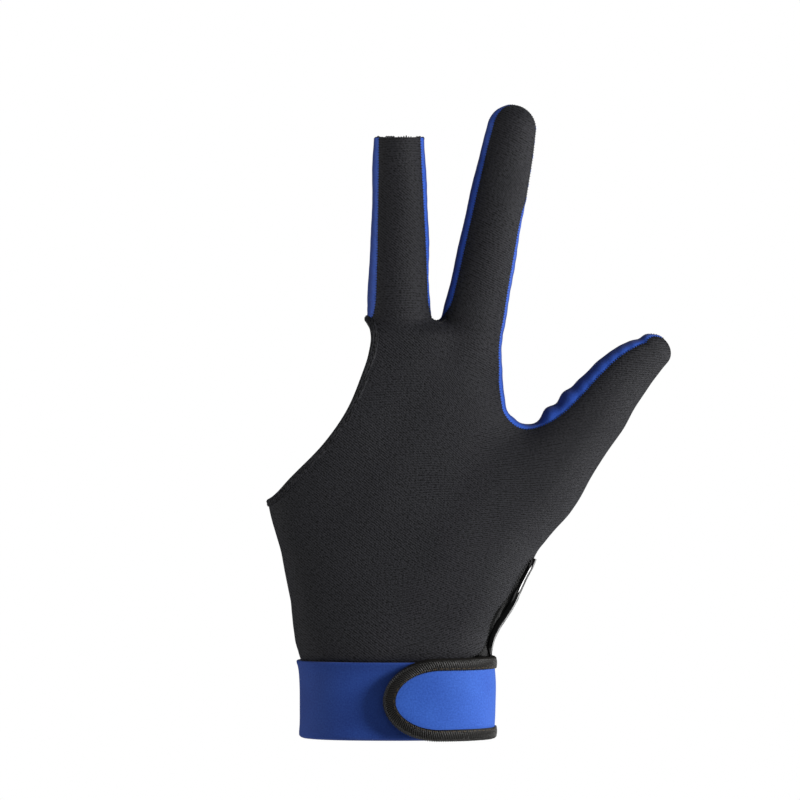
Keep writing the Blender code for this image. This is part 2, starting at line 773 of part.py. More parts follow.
def make_strip(name, walk, material):
    grid = walk.strip(STRIP_ROWS)
    faces = grid_faces(*grid.shape[:2])
    return add_piece(name, *thicken(grid.reshape(-1, 3), faces, KNIT_WALL), material)


def make_hem(material):
    """The turned hem round the cut-away side, in one closed loop."""
    low = HEM_RISE - HEM_WALL
    bevel = HEM_WALL / 4
    section = ((0, low + bevel), (0, HEM_RISE - bevel), (bevel, HEM_RISE), (HEM_WIDTH - bevel, HEM_RISE),
               (HEM_WIDTH, HEM_RISE - bevel), (HEM_WIDTH, low + bevel), (HEM_WIDTH - bevel, low), (bevel, low))
    rings = []
    for inset, rise in section:
        line = opening_loop(HEM_STATIONS, inset)
        rings.append(bent(line + form_slope(line) * rise))
    return add_piece("opening_hem", *ring_loop(np.stack(rings, 1)), material)


def make_facing(material):
    """The glossy facing under the wrist's slit, from under the back panel round to the palm."""
    depth = FACING_DEPTH
    line = settle(resample(PALM.side(FACING_TOP, FACING_LOW, 1, 20), EDGE_STEP), 0.0, depth)
    slit = slit_line(EDGE_STEP)[::-1]
    reach = np.interp(line[:, 1], slit[:, 1], slit[:, 0]) - FACING_UNDER
    back = np.abs(height(np.column_stack((reach, line[:, 1])), BACK, depth))
    palm = WRIST_SEAMS[-1][2] * FINGER_DEPTH / 2 + FACING_UNDER
    grid = []
    for share in np.linspace(0, 1, 2 * STRIP_ROWS - 1):
        level = -back + (back + palm) * share
        plan = climb(line, level, depth)
        grid.append(np.column_stack((plan[:, 0], level, plan[:, 1])))
    grid = np.stack(grid, 1)
    faces = grid_faces(*grid.shape[:2])
    return add_piece("slit_facing", *thicken(grid.reshape(-1, 3), faces, FACING_WALL), material)


def clear_scene():
    for item in list(bpy.data.objects):
        bpy.data.objects.remove(item)


def main():
    clear_scene()
    knit = cloth_material("black_knit", (0.012, 0.012, 0.013), 0.75)
    blue_knit = cloth_material("blue_knit", (0.020, 0.070, 0.520), 0.70)
    neoprene = cloth_material("blue_neoprene", (0.024, 0.090, 0.560), 0.80)
    ribbon = cloth_material("black_ribbon", (0.010, 0.010, 0.010), 0.65)
    hooks = cloth_material("black_hooks", (0.015, 0.015, 0.015), 0.60)
    leather = cloth_material("black_coated_leather", (0.008, 0.008, 0.009), 0.22)

    loop = opening_loop(HEM_STATIONS, HEM_WIDTH + GAP)
    walks = build_walks(loop, EDGE_STEP)
    make_panel("back_panel", walks, loop, BACK, knit)
    make_panel("palm_panel", walks, loop, PALM_SIDE, knit)
    make_strip("middle_outer_fourchette", walks["outer"], blue_knit)
    make_strip("middle_index_fourchette", walks["crotch"], blue_knit)
    make_strip("index_thumb_gusset", walks["web"], blue_knit)
    make_hem(knit)
    make_facing(leather)
    make_cuff(neoprene)
    make_binding(ribbon)
    make_hooks(hooks)


main()
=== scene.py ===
"""A billiard glove for the left hand, dressed for the render: knit cloth, side strips, hem, wrist band and stitching.

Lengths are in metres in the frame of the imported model: +Z runs from the wrist to the fingers, +X to the
thumb, and -Y is the back of the hand. The cloth is laid over the same form of slices as the model's walls.
"""

import functools
import math

import bpy
import numpy as np
from bpy.props import FloatProperty, FloatVectorProperty, PointerProperty
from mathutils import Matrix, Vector
from mathutils.geometry import delaunay_2d_cdt


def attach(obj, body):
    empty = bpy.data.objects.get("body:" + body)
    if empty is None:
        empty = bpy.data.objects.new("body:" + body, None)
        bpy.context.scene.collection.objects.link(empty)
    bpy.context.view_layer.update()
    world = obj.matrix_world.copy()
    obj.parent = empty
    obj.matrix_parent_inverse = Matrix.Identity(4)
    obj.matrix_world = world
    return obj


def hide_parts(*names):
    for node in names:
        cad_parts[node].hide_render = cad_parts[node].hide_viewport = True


bl_info = {
    "name": "Billiard glove",
    "version": (1, 0, 0),
    "blender": (4, 5, 0),
    "location": "3D View > Sidebar > Glove",
    "description": "Builds a worn billiard glove with knit cloth, blue side strips and a wrist band",
    "category": "Object",
}

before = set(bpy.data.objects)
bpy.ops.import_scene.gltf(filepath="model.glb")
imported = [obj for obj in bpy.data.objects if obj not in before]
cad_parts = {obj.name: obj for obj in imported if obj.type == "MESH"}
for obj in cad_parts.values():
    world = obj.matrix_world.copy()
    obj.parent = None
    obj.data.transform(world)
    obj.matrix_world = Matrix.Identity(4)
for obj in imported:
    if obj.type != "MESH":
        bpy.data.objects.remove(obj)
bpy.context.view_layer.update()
VIEW_CENTRE = (0.0013, 0.0, 0.1088)
VIEW_DISTANCE = 1.8

# Cuff and closing tab
CUFF_WIDTH = 0.0629
CUFF_DEPTH = 0.0440
CUFF_HEIGHT = 0.0256
CUFF_WALL = 0.0022
TAB_HEIGHT = 0.0268
TAB_ROUND = 0.0170
BINDING_WIDTH = 0.0037
BINDING_WALL = 0.0006

# Hand of the glove
PALM_LENGTH = 0.1090
PALM_WIDTH = 0.0780
PALM_DEPTH = 0.0300
MIDDLE_LENGTH = 0.0580
INDEX_LENGTH = 0.0715
FINGER_WIDTH = 0.0200
FINGER_DEPTH = 0.0180
INDEX_LEAN = math.radians(11.3)
THUMB_LENGTH = 0.0600
THUMB_WIDTH = 0.0220
THUMB_DEPTH = 0.0200
THUMB_LEAN = math.radians(39.9)
FINGER_CURL = 0.0050
THUMB_DROP = 0.0100

# Cloth
KNIT_WALL = 0.0009
HEM_WIDTH = 0.0024
HEM_WALL = 0.0016
HEM_RISE = 0.0003
TUCK = 0.0060
GAP = 0.0003
LAP = CUFF_WALL + BINDING_WALL + 3 * GAP

# Turns round the cuff, from 0 at the thumb by the palm
TAB_TIP_TURN = 0.743
TAB_ROOT_TURN = 1.030
LAP_FROM = 1.040
LAP_TO = 1.230
BAND_END_TURN = 1.934

# Mesh
CLOTH_STEP = 0.0012
EDGE_STEP = 0.0009
PROFILE_SAMPLES = 241
BACK, PALM_SIDE = -1, 1

# Where the fingers and the thumb spring from, the bottom of the fork between the fingers, and the bottom
# of the web to the thumb, as shares of the palm's width and length
MIDDLE_ROOT = (0.014, 1.000)
INDEX_ROOT = (0.319, 1.000)
THUMB_ROOT = (0.662, 0.588)
CROTCH = (0.172, 1.000)
WEB = (0.530, 0.690)

# Slices of each form: share of its length, shift of its middle, half width, depth to the back, depth to
# the palm. The palm's shift and width are shares of the palm's width, and its depths of its depth.
PALM_SLICES = (
    # along, shift, width, back, palm
    (-0.075, -0.026, 0.337, 0.505, 0.640),
    (-0.014, -0.026, 0.340, 0.510, 0.640),
    (0.000, -0.008, 0.382, 0.575, 0.655),
    (0.010, -0.002, 0.393, 0.595, 0.660),
    (0.024, -0.002, 0.399, 0.605, 0.660),
    (0.050, -0.006, 0.406, 0.610, 0.660),
    (0.090, 0.001, 0.421, 0.610, 0.650),
    (0.135, 0.020, 0.446, 0.600, 0.645),
    (0.180, 0.037, 0.470, 0.585, 0.640),
    (0.300, 0.043, 0.509, 0.540, 0.640),
    (0.450, 0.008, 0.530, 0.500, 0.600),
    (0.600, -0.028, 0.522, 0.470, 0.540),
    (0.680, -0.027, 0.515, 0.460, 0.510),
    (0.740, -0.041, 0.497, 0.450, 0.490),
    (0.800, -0.042, 0.483, 0.430, 0.465),
    (0.860, -0.037, 0.472, 0.420, 0.440),
    (0.935, -0.010, 0.425, 0.380, 0.380),
)
MIDDLE_SLICES = (
    (-0.500, 0.000, 0.505, 0.500, 0.500),
    (0.000, 0.000, 0.505, 0.520, 0.500),
    (0.250, 0.000, 0.488, 0.490, 0.480),
    (0.600, 0.000, 0.452, 0.480, 0.460),
    (1.000, 0.000, 0.406, 0.440, 0.430),
    (1.100, 0.000, 0.400, 0.430, 0.420),
)
INDEX_SLICES = (
    (-0.500, 0.000, 0.515, 0.500, 0.500),
    (0.000, 0.000, 0.510, 0.520, 0.500),
    (0.150, 0.000, 0.488, 0.490, 0.480),
    (0.450, 0.000, 0.458, 0.480, 0.460),
    (0.750, 0.000, 0.425, 0.450, 0.440),
    (0.868, 0.000, 0.390, 0.420, 0.410),
)
THUMB_SLICES = (
    (-0.650, -0.260, 0.600, 0.560, 0.850),
    (-0.450, -0.220, 0.710, 0.570, 0.880),
    (-0.370, -0.190, 0.768, 0.580, 0.900),
    (-0.300, -0.165, 0.780, 0.580, 0.890),
    (-0.200, -0.125, 0.765, 0.570, 0.860),
    (-0.130, -0.105, 0.735, 0.565, 0.830),
    (-0.080, -0.085, 0.698, 0.560, 0.800),
    (0.040, -0.045, 0.590, 0.540, 0.680),
    (0.200, -0.030, 0.516, 0.510, 0.560),
    (0.340, -0.025, 0.478, 0.490, 0.500),
    (0.480, -0.048, 0.430, 0.460, 0.470),
    (0.613, -0.040, 0.386, 0.420, 0.430),
    (0.720, 0.002, 0.325, 0.380, 0.390),
    (0.777, 0.055, 0.270, 0.330, 0.340),
)
PALM_TOP_CAP = 0.0070
FINGER_CAP = 0.0078
THUMB_CAP = 0.0050
PALM_POWER = 2.3
THUMB_BLEND = 0.0100
FINGER_BLEND = 0.0032
CROTCH_BLEND = 0.0016

# Side seams: share of the way along, width of the blue strip that shows from the back, in mm, and the
# seam on the palm as a share of half the finger's depth. Below 0 the black cloth wraps round the side.
OUTER_SEAMS = (
    (0.00, 1.6, 0.00),
    (0.03, 2.2, 0.30),
    (0.10, 2.5, 0.60),
    (0.37, 2.5, 0.62),
    (0.65, 2.1, 0.62),
    (1.00, 1.5, 0.60),
)
CROTCH_SEAMS = (
    (0.00, 1.3, 0.60),
    (0.15, 1.1, 0.62),
    (0.26, 0.9, 0.62),
    (0.38, 0.8, 0.62),
    (0.405, 0.5, 0.62),
    (0.415, -0.4, 0.62),
    (0.440, -0.4, 0.62),
    (0.450, 0.8, 0.62),
    (0.480, 2.1, 0.62),
    (0.830, 2.0, 0.60),
    (0.930, 1.7, 0.56),
    (0.965, 0.9, 0.50),
    (0.985, 0.0, 0.40),
    (1.00, -0.2, 0.40),
)
WEB_SEAMS = (
    (0.00, -0.2, 0.40),
    (0.20, -0.3, 0.58),
    (0.22, 0.5, 0.60),
    (0.26, 0.8, 0.62),
    (0.45, 0.9, 0.64),
    (0.56, 1.2, 0.66),
    (0.615, 1.5, 0.66),
    (0.670, 1.9, 0.66),
    (0.705, 3.2, 0.66),
    (0.740, 3.8, 0.64),
    (0.830, 3.5, 0.60),
    (0.900, 3.0, 0.54),
    (0.940, 2.4, 0.40),
    (0.975, 1.2, 0.10),
    (1.00, 0.1, 0.00),
)
WRIST_SEAMS = (
    (0.00, 0.0, 0.00),
    (0.10, 0.0, 0.50),
    (1.00, 0.0, 0.60),
)

# The edge of the cut-away side, as shares of the palm's width and length
OPENING_EDGE = (
    (-0.535, 0.470),
    (-0.513, 0.479),
    (-0.433, 0.537),
    (-0.288, 0.644),
    (-0.197, 0.740),
    (-0.145, 0.828),
    (-0.112, 0.901),
    (-0.103, 0.945),
    (-0.107, 0.972),
    (-0.124, 0.995),
    (-0.152, 1.010),
    (-0.200, 1.022),
)
# The slit's edge on the back, at the wrist, as shares of the palm's width and length
SLIT_EDGE = (
    (0.553, 0.299),
    (0.510, 0.253),
    (0.452, 0.187),
    (0.406, 0.146),
    (0.383, 0.109),
    (0.370, 0.068),
    (0.338, 0.024),
    (0.285, 0.004),
    (0.280, -0.055),
)
# The rolled edge of the slit's facing, as shares of the palm's width and length, and its half width in mm
FACING_ROLL = (
    (0.563, 0.300, 1.10),
    (0.553, 0.282, 1.15),
    (0.523, 0.241, 1.10),
    (0.493, 0.200, 1.25),
    (0.469, 0.164, 1.35),
    (0.438, 0.129, 1.40),
    (0.409, 0.097, 1.35),
    (0.388, 0.059, 1.15),
    (0.381, 0.023, 1.00),
    (0.380, -0.006, 1.00),
)


def smooth_table(rows):
    """The rows' columns at even steps of the first, on a curve that doesn't overshoot them."""
    rows = np.array(rows)
    at, values = rows[:, 0], rows[:, 1:]
    width = np.diff(at)[:, None]
    slope = np.diff(values, axis=0) / width
    tangent = np.zeros_like(values)
    tangent[0], tangent[-1] = slope[0], slope[-1]
    same = slope[:-1] * slope[1:] > 0
    heavy, light = width[1:] * 2 + width[:-1], width[1:] + width[:-1] * 2
    mean = heavy / np.where(same, slope[:-1], 1) + light / np.where(same, slope[1:], 1)
    tangent[1:-1] = np.where(same, (heavy + light) / np.where(same, mean, 1), 0)
    steps = np.linspace(at[0], at[-1], PROFILE_SAMPLES)
    i = np.clip(np.searchsorted(at, steps) - 1, 0, len(at) - 2)
    a = ((steps - at[i]) / (at[i + 1] - at[i]))[:, None]
    start = (1 + 2 * a) * (1 - a) ** 2 * values[i] + a * (1 - a) ** 2 * width[i] * tangent[i]
    end = a * a * (3 - 2 * a) * values[i + 1] + a * a * (a - 1) * width[i] * tangent[i + 1]
    return steps, start + end


class Limb:
    """A form made of slices along a straight axis, each half an ellipse to the back and half to the palm."""

    def __init__(self, root, lean, length, width, depth, slices, caps, power=2.0):
        self.root = np.array(root)
        self.along = np.array((math.sin(lean), math.cos(lean)))
        self.across = np.array((math.cos(lean), -math.sin(lean)))
        self.length = length
        self.at, columns = smooth_table(slices)
        self.columns = columns * (width, width, depth, depth)
        self.caps = caps
        self.power = power

    def slice(self, share):
        return [np.interp(share, self.at, self.columns[:, k]) for k in range(4)]

    def value(self, x, y, z):
        """Below 0 inside the form, above 0 outside, and near the distance to it."""
        px, pz = x - self.root[0], z - self.root[1]
        share = (px * self.along[0] + pz * self.along[1]) / self.length
        shift, width, back, palm = self.slice(share)
        sideways = px * self.across[0] + pz * self.across[1] - shift
        below = np.maximum(self.at[0] - share, 0) * self.length
        past = below + np.maximum(share - self.at[-1], 0) * self.length
        cap = np.where(below > 0, self.caps[0], self.caps[1])
        depth = np.where(y < 0, back, palm)
        terms = np.abs(sideways / width) ** self.power + np.abs(y / depth) ** self.power
        ratio = np.maximum((terms + (past / cap) ** self.power) ** (1 / self.power), 1e-6)
        reach = np.sqrt(sideways**2 + y**2 + past**2)
        return reach - reach / ratio

    def side(self, start, end, way, count):
        """Points in plan along one side, from one share of the length to another."""
        share = np.linspace(start, end, count)[:, None]
        shift, width, _, _ = self.slice(share)
        return self.root + self.along * share * self.length + self.across * (shift + way * width)

    def tip(self):
        """The plan point at the far end of the cap."""
        reach = self.at[-1] * self.length + self.caps[1]
        return (self.root + self.along * reach + self.across * self.columns[-1, 0])[None]


def palm_point(width_share, length_share):
    return np.array((width_share * PALM_WIDTH, CUFF_HEIGHT + length_share * PALM_LENGTH))


PALM = Limb(palm_point(0, 0), 0.0, PALM_LENGTH, PALM_WIDTH, PALM_DEPTH, PALM_SLICES,
            (PALM_TOP_CAP, PALM_TOP_CAP), PALM_POWER)
MIDDLE = Limb(palm_point(*MIDDLE_ROOT), 0.0, MIDDLE_LENGTH, FINGER_WIDTH, FINGER_DEPTH, MIDDLE_SLICES,
              (FINGER_CAP, FINGER_CAP))
INDEX = Limb(palm_point(*INDEX_ROOT), INDEX_LEAN, INDEX_LENGTH, FINGER_WIDTH, FINGER_DEPTH, INDEX_SLICES,
             (FINGER_CAP, FINGER_CAP))
THUMB = Limb(palm_point(*THUMB_ROOT), THUMB_LEAN, THUMB_LENGTH, THUMB_WIDTH, THUMB_DEPTH, THUMB_SLICES,
             (THUMB_WIDTH, THUMB_CAP))


def blend(first, second, size):
    """The union of two forms, with a fillet of about this size between them."""
    share = np.clip(0.5 + 0.5 * (second - first) / size, 0, 1)
    return second * (1 - share) + first * share - size * share * (1 - share)


def form(x, y, z):
    """The hand that fills the glove: 0 on the cloth's outer face, below 0 inside."""
    palm = blend(PALM.value(x, y, z), THUMB.value(x, y, z), THUMB_BLEND)
    fingers = blend(MIDDLE.value(x, y, z), INDEX.value(x, y, z), CROTCH_BLEND)
    return blend(palm, fingers, FINGER_BLEND)


def bent(points):
    """The points with the fingers curled a little and the thumb dropped towards the palm."""
    points = np.array(points)
    top = CUFF_HEIGHT + PALM_LENGTH
    curl = np.clip((points[..., 2] - 0.8 * top) / INDEX_LENGTH, 0, None)
    drop = np.clip((points[..., 0] - 0.35 * PALM_WIDTH) / THUMB_LENGTH, 0, None)
    low = np.clip((top + 0.2 * PALM_LENGTH - points[..., 2]) / PALM_LENGTH, 0, 1)
    back = FINGER_CURL * curl**2 + THUMB_DROP * drop**2 * low * (3 - 2 * low)
    points[..., 1] += back
    # The outline was drawn as the camera sees it, so what lies further back is larger.
    for axis, middle in ((0, VIEW_CENTRE[0]), (2, VIEW_CENTRE[2])):
        points[..., axis] += (points[..., axis] - middle) * back / VIEW_DISTANCE
    return points


def plan_slope(plan, y):
    step = 2e-5
    x, z = plan.T
    return np.stack((form(x + step, y, z) - form(x - step, y, z),
                     form(x, y, z + step) - form(x, y, z - step)), 1) / (2 * step)


def settle(plan, y, depth=0.0):
    """Plan points moved square to the outline until they lie on the form, or under it, at height y."""
    plan = np.array(plan)
    for _ in range(14):
        slope = plan_slope(plan, y)
        steep = np.maximum((slope**2).sum(1), 0.05)
        move = (form(plan[:, 0], y, plan[:, 1]) + depth) / steep
        plan -= slope * np.clip(move, -0.002, 0.002)[:, None]
    return plan


def climb(plan, y, depth=0.0):
    """Outline points carried over the form's side to the heights y, in steps."""
    for share in np.linspace(0, 1, 7)[1:]:
        plan = settle(plan, y * share, depth)
    return plan


def height(plan, side, depth=0.0):
    """The form's height over plan points, on the back or on the palm."""
    low, high = np.zeros(len(plan)), np.full(len(plan), PALM_DEPTH)
    for _ in range(40):
        middle = (low + high) / 2
        within = form(plan[:, 0], side * middle, plan[:, 1]) + depth < 0
        low, high = np.where(within, middle, low), np.where(within, high, middle)
    return side * (low + high) / 2


def distances(line):
    """The way to each point of a polyline from its start."""
    return np.concatenate(([0], np.cumsum(np.linalg.norm(np.diff(line, axis=0), axis=1))))


def resample(line, step=None, count=None):
    """A polyline at even steps, its two ends kept."""
    line = np.array(line)
    way = distances(line)
    count = count or max(int(round(way[-1] / step)) + 1, 3)
    at = np.linspace(0, way[-1], count)
    return np.stack([np.interp(at, way, line[:, k]) for k in range(line.shape[1])], 1)


def form_slope(points):
    """The outward direction of the form at points in space."""
    step = 2e-5
    x, y, z = points.T
    slope = np.stack((form(x + step, y, z) - form(x - step, y, z),
                      form(x, y + step, z) - form(x, y - step, z),
                      form(x, y, z + step) - form(x, y, z - step)), 1)
    return slope / np.linalg.norm(slope, axis=1, keepdims=True)


def onto_form(points, depth=0.0):
    """Points in space moved square to the form until they lie on it, or a depth under it."""
    for _ in range(12):
        value = form(*points.T) + depth
        points = points - form_slope(points) * np.clip(value, -0.001, 0.001)[:, None]
    return points


def opening_line():
    """The cut-away edge in plan, between the two places where it crosses the outline."""
    points = np.array([palm_point(*row) for row in OPENING_EDGE])
    line = resample(smooth_table(np.column_stack((distances(points), points)))[1], count=20 * PROFILE_SAMPLES)
    return line[form(line[:, 0], 0.0, line[:, 1]) < 0]


def opening_loop(count, offset):
    """A closed line round the cut-away side, on the form and this far inside the cloth's edge.

    It runs up the back from the little-finger side, through the fingers' root and down the palm.
    """
    line = opening_line()
    turn = np.arange(count) / count * 2 * math.pi
    at = (1 - np.cos(turn)) / 2 * (len(line) - 1)
    plan = np.stack([np.interp(at, np.arange(len(line)), line[:, k]) for k in (0, 1)], 1)
    side = np.where(turn < math.pi, -1.0, 1.0)
    loop = np.column_stack((plan[:, 0], height(plan, side), plan[:, 1]))
    ahead = np.roll(loop, -1, 0) - np.roll(loop, 1, 0)
    inward = np.cross(ahead, form_slope(loop))
    inward /= np.linalg.norm(inward, axis=1, keepdims=True)
    return onto_form(loop + inward * offset)


def crossings(loop):
    """Where a closed loop passes from the back to the palm: near the wrist, and near the fingers."""
    found = []
    for here, there in zip(loop, np.roll(loop, -1, 0)):
        if (here[1] < 0) != (there[1] < 0):
            share = here[1] / (here[1] - there[1])
            found.append((here + (there - here) * share)[[0, 2]])
    return sorted(found, key=lambda point: point[1])




# Share of the way from a seam to the row where a panel has turned flat, closer together by the seam
BAND_ROWS = (0.0, 0.03, 0.07, 0.13, 0.21, 0.32, 0.45, 0.60, 0.80, 1.0)
STRIP_ROWS = (0.0, 0.04, 0.10, 0.20, 0.33, 0.50, 0.67, 0.80, 0.90, 0.96, 1.0)
TURN_LEVEL = 0.0056
TURN_LEAST = 0.0010
# A seam lies no higher over the outline than this
MOST_LEVEL = 0.0082


class Walk:
    """A stretch of the glove's outline, with the heights of the seams on its two sides."""

    def __init__(self, guide, seams, step):
        line = settle(resample(guide, step), 0.0)
        self.line = settle(resample(line, step), 0.0)
        self.way = distances(self.line)
        seams = np.array(seams)
        at = self.way / self.way[-1]
        shown, palm = [np.interp(at, seams[:, 0], seams[:, k]) for k in (1, 2)]
        self.seam = {BACK: smoothed(self.level(shown / 1000)), PALM_SIDE: smoothed(palm * FINGER_DEPTH / 2)}

    def level(self, shown):
        """The back seam's height over each station where it lies this far inside the outline, seen from the back."""
        slope = plan_slope(self.line, 0.0)
        slope /= np.linalg.norm(slope, axis=1, keepdims=True)
        over = np.abs(height(self.line - slope * np.maximum(shown, 0)[:, None], BACK))
        return np.where(shown > 0, np.minimum(over, MOST_LEVEL), shown)

    def rows(self, levels):
        """The points over each station at these levels, one row of stations for each column of levels."""
        plan = climb(self.line, levels[:, 0])
        found = []
        for level in levels.T:
            plan = settle(plan, level)
            found.append(np.column_stack((plan[:, 0], level, plan[:, 1])))
        return np.stack(found)

    def band(self, side):
        """A panel's turned side, from its seam to the row where it lies flat enough."""
        seam = self.seam[side]
        top = np.maximum(TURN_LEVEL, seam + TURN_LEAST)
        levels = seam[:, None] + (top - seam)[:, None] * np.array(BAND_ROWS)
        return self.rows(side * levels)

    def strip(self):
        """The strip between the two seams, over the stations where it has a width."""
        levels = -self.seam[BACK][:, None] + (self.seam[BACK] + self.seam[PALM_SIDE])[:, None] * np.array(STRIP_ROWS)
        keep = self.seam[BACK] + self.seam[PALM_SIDE] > 2 * GAP
        return self.rows(levels)[:, keep], self.way[keep]


def smoothed(values):
    """A row of numbers with its corners rounded and its ends kept."""
    for _ in range(6):
        values = np.concatenate((values[:1], (values[:-2] + 2 * values[1:-1] + values[2:]) / 4, values[-1:]))
    return values


@functools.lru_cache(maxsize=1)
def glove_walks():
    """The outline in order, seen from the back: up the little-finger side and round to the wrist's slit."""
    loop = opening_loop(HEM_STATIONS, HEM_WIDTH - GAP)
    low, high = crossings(loop)
    plain = ((0.0, 0.0, 0.0), (1.0, 0.0, 0.0))
    index_tip = INDEX.tip()
    thumb_tip = THUMB.tip()
    start = -TUCK / PALM_LENGTH
    outline = {
        "ulnar": ([PALM.side(start, 0.40, -1, 30), [low]], plain),
        "outer": ([[high], MIDDLE.side(0.20, 1.0, -1, 12)], OUTER_SEAMS),
        "crotch": ([MIDDLE.side(1.0, 0.08, 1, 12), [palm_point(*CROTCH)], INDEX.side(0.08, 0.85, -1, 12),
                    index_tip], CROTCH_SEAMS),
        "web": ([index_tip, INDEX.side(0.85, -0.2, 1, 16), [palm_point(*WEB)], THUMB.side(0.15, 0.70, -1, 10),
                 thumb_tip], WEB_SEAMS),
        "thenar": ([thumb_tip, THUMB.side(0.70, -0.45, 1, 16), [palm_point(*SLIT_EDGE[0])]], plain),
        "wrist": ([[palm_point(*SLIT_EDGE[0])], PALM.side(0.25, start, 1, 16)], WRIST_SEAMS),
    }
    walks = {name: Walk(np.concatenate(guide), seams, EDGE_STEP) for name, (guide, seams) in outline.items()}
    return loop, walks


def inside(points, polygon):
    """Whether plan points lie inside a closed polygon."""
    odd = np.zeros(len(points), bool)
    for (ax, az), (bx, bz) in zip(polygon, np.roll(polygon, -1, 0)):
        crosses = (az > points[:, 1]) != (bz > points[:, 1])
        if az != bz:
            odd ^= crosses & (points[:, 0] < ax + (points[:, 1] - az) / (bz - az) * (bx - ax))
    return odd


def spread(points, near, least):
    """The points that lie at least this far from all the near ones."""
    kept = []
    for block in np.array_split(points, max(len(points) // 500, 1)):
        apart = np.linalg.norm(block[:, None] - near[None], axis=2).min(1)
        kept.append(block[apart >= least])
    return np.concatenate(kept)


def slit_line():
    """The slit's edge on the back, from its tip down into the cuff."""
    points = np.array([palm_point(*row) for row in SLIT_EDGE])
    return resample(smooth_table(np.column_stack((distances(points), points)))[1], EDGE_STEP)


def raised(plan, side):
    """Plan points lifted to the form on one side."""
    return np.column_stack((plan[:, 0], height(plan, np.full(len(plan), side)), plan[:, 1]))


def cut_line(left, right, side):
    """A straight cut across a panel between two of its edge points, without its ends."""
    count = max(int(np.linalg.norm((right - left)[[0, 2]]) / EDGE_STEP), 3)
    plan = np.linspace(left[[0, 2]], right[[0, 2]], count)[1:-1]
    return raised(plan, side)


def panel_surface(side):
    """A panel's outer face: its points, faces, how far each point lies from a seam, and its weave coordinates."""
    loop, walks = glove_walks()
    names = ["ulnar", "outer", "crotch", "web", "thenar"] + (["wrist"] if side == PALM_SIDE else [])
    bands = {name: walks[name].band(side) for name in names}
    half = len(loop) // 2
    on_side = loop[: half + 1] if side == BACK else loop[half:][::-1]
    on_side = on_side[on_side[:, 1] * side > GAP]
    parts = [bands["ulnar"][-1], bands["ulnar"][::-1, -1][1:], on_side, bands["outer"][:, 0],
             bands["outer"][-1][1:], cut_line(bands["outer"][-1, -1], bands["crotch"][-1, 0], side),
             bands["crotch"][-1], bands["web"][-1][1:], bands["thenar"][-1][1:]]
    if side == BACK:
        parts += [bands["thenar"][::-1, -1][1:], raised(slit_line()[1:], side)]
    else:
        parts.append(bands["wrist"][-1][1:])
    parts.append(cut_line(parts[-1][-1], bands["ulnar"][-1, 0], side))
    ring = np.concatenate(parts)
    ring = ring[np.linalg.norm(ring - np.roll(ring, 1, 0), axis=1) > MERGE]
    outline = ring[:, [0, 2]]
    low, high = outline.min(0), outline.max(0)
    x, z = np.meshgrid(np.arange(low[0], high[0], CLOTH_STEP), np.arange(low[1], high[1], CLOTH_STEP * 0.866))
    x[1::2] += CLOTH_STEP / 2
    grid = np.column_stack((x.ravel(), z.ravel()))
    grid = spread(grid[inside(grid, outline)], outline, CLOTH_STEP * 0.6)
    plan = np.concatenate((outline, grid))
    result = delaunay_2d_cdt([tuple(point) for point in plan], [], [list(range(len(outline)))], 1, MERGE / 10)
    points = raised(np.array([tuple(point) for point in result[0]]), side)
    for number, origins in enumerate(result[3]):
        known = [origin for origin in origins if origin < len(ring)]
        if known:
            points[number] = ring[known[0]]
    far = np.full(len(points), 1.0)
    faces = [tuple(face) for face in result[2]]
    for name in names:
        rows = bands[name]
        seam = np.abs(rows[0, :, 1])
        far = np.concatenate((far, (np.abs(rows[..., 1]) - seam[None]).ravel()))
        faces += [tuple(corner + len(points) for corner in face) for face in grid_faces(*rows.shape[:2])]
        points = np.concatenate((points, rows.reshape(-1, 3)))
    points, faces, far = merged(points, faces, far)
    return points, faces, far


MERGE = 2e-6


def merged(points, faces, far):
    """Points that share a place made one, and the faces that this leaves with under three corners dropped."""
    keys = np.round(points / (MERGE * 5)).astype(np.int64)
    _, first, index = np.unique(keys, axis=0, return_index=True, return_inverse=True)
    index = index.reshape(-1)
    nearest = np.full(len(first), np.inf)
    np.minimum.at(nearest, index, far)
    kept = []
    for face in faces:
        corners = list(dict.fromkeys(int(index[corner]) for corner in face))
        if len(corners) > 2:
            kept.append(tuple(corners))
    return points[first], kept, nearest


def grid_faces(rows, columns, closed=False):
    """Four-sided faces of a grid of points, its columns joined up when closed."""
    faces = []
    for i in range(rows - 1):
        for j in range(columns if closed else columns - 1):
            k = (j + 1) % columns
            faces.append((i * columns + j, i * columns + k, (i + 1) * columns + k, (i + 1) * columns + j))
    return faces


def outward_faces(points, faces, outward):
    """The faces turned so that each looks along the outward directions at its corners."""
    turned = []
    for face in faces:
        a, b, c = (points[face[k]] for k in (0, 1, 2))
        looks_out = np.dot(np.cross(b - a, c - a), outward[list(face)].sum(0)) > 0
        turned.append(tuple(face) if looks_out else tuple(face)[::-1])
    return turned


def thicken(points, outward, faces, wall):
    """A cloth sheet with a wall behind it: its points and closed, outward faces."""
    faces = outward_faces(points, faces, outward)
    count = len(points)
    solid = np.concatenate((points, points - outward * wall))
    edges = {(a, b) for face in faces for a, b in zip(face, face[1:] + face[:1])}
    sides = [(b, a, a + count, b + count) for a, b in edges if (b, a) not in edges]
    backs = [tuple(corner + count for corner in face[::-1]) for face in faces]
    return solid, faces + backs + sorted(sides)


def ring_loop(rings):
    """A solid swept through closed rings of points whose last ring joins the first."""
    rows, columns = rings.shape[:2]
    faces = []
    for i in range(rows):
        n = (i + 1) % rows
        for j in range(columns):
            k = (j + 1) % columns
            faces.append((i * columns + j, i * columns + k, n * columns + k, n * columns + j))
    return rings.reshape(-1, 3), faces


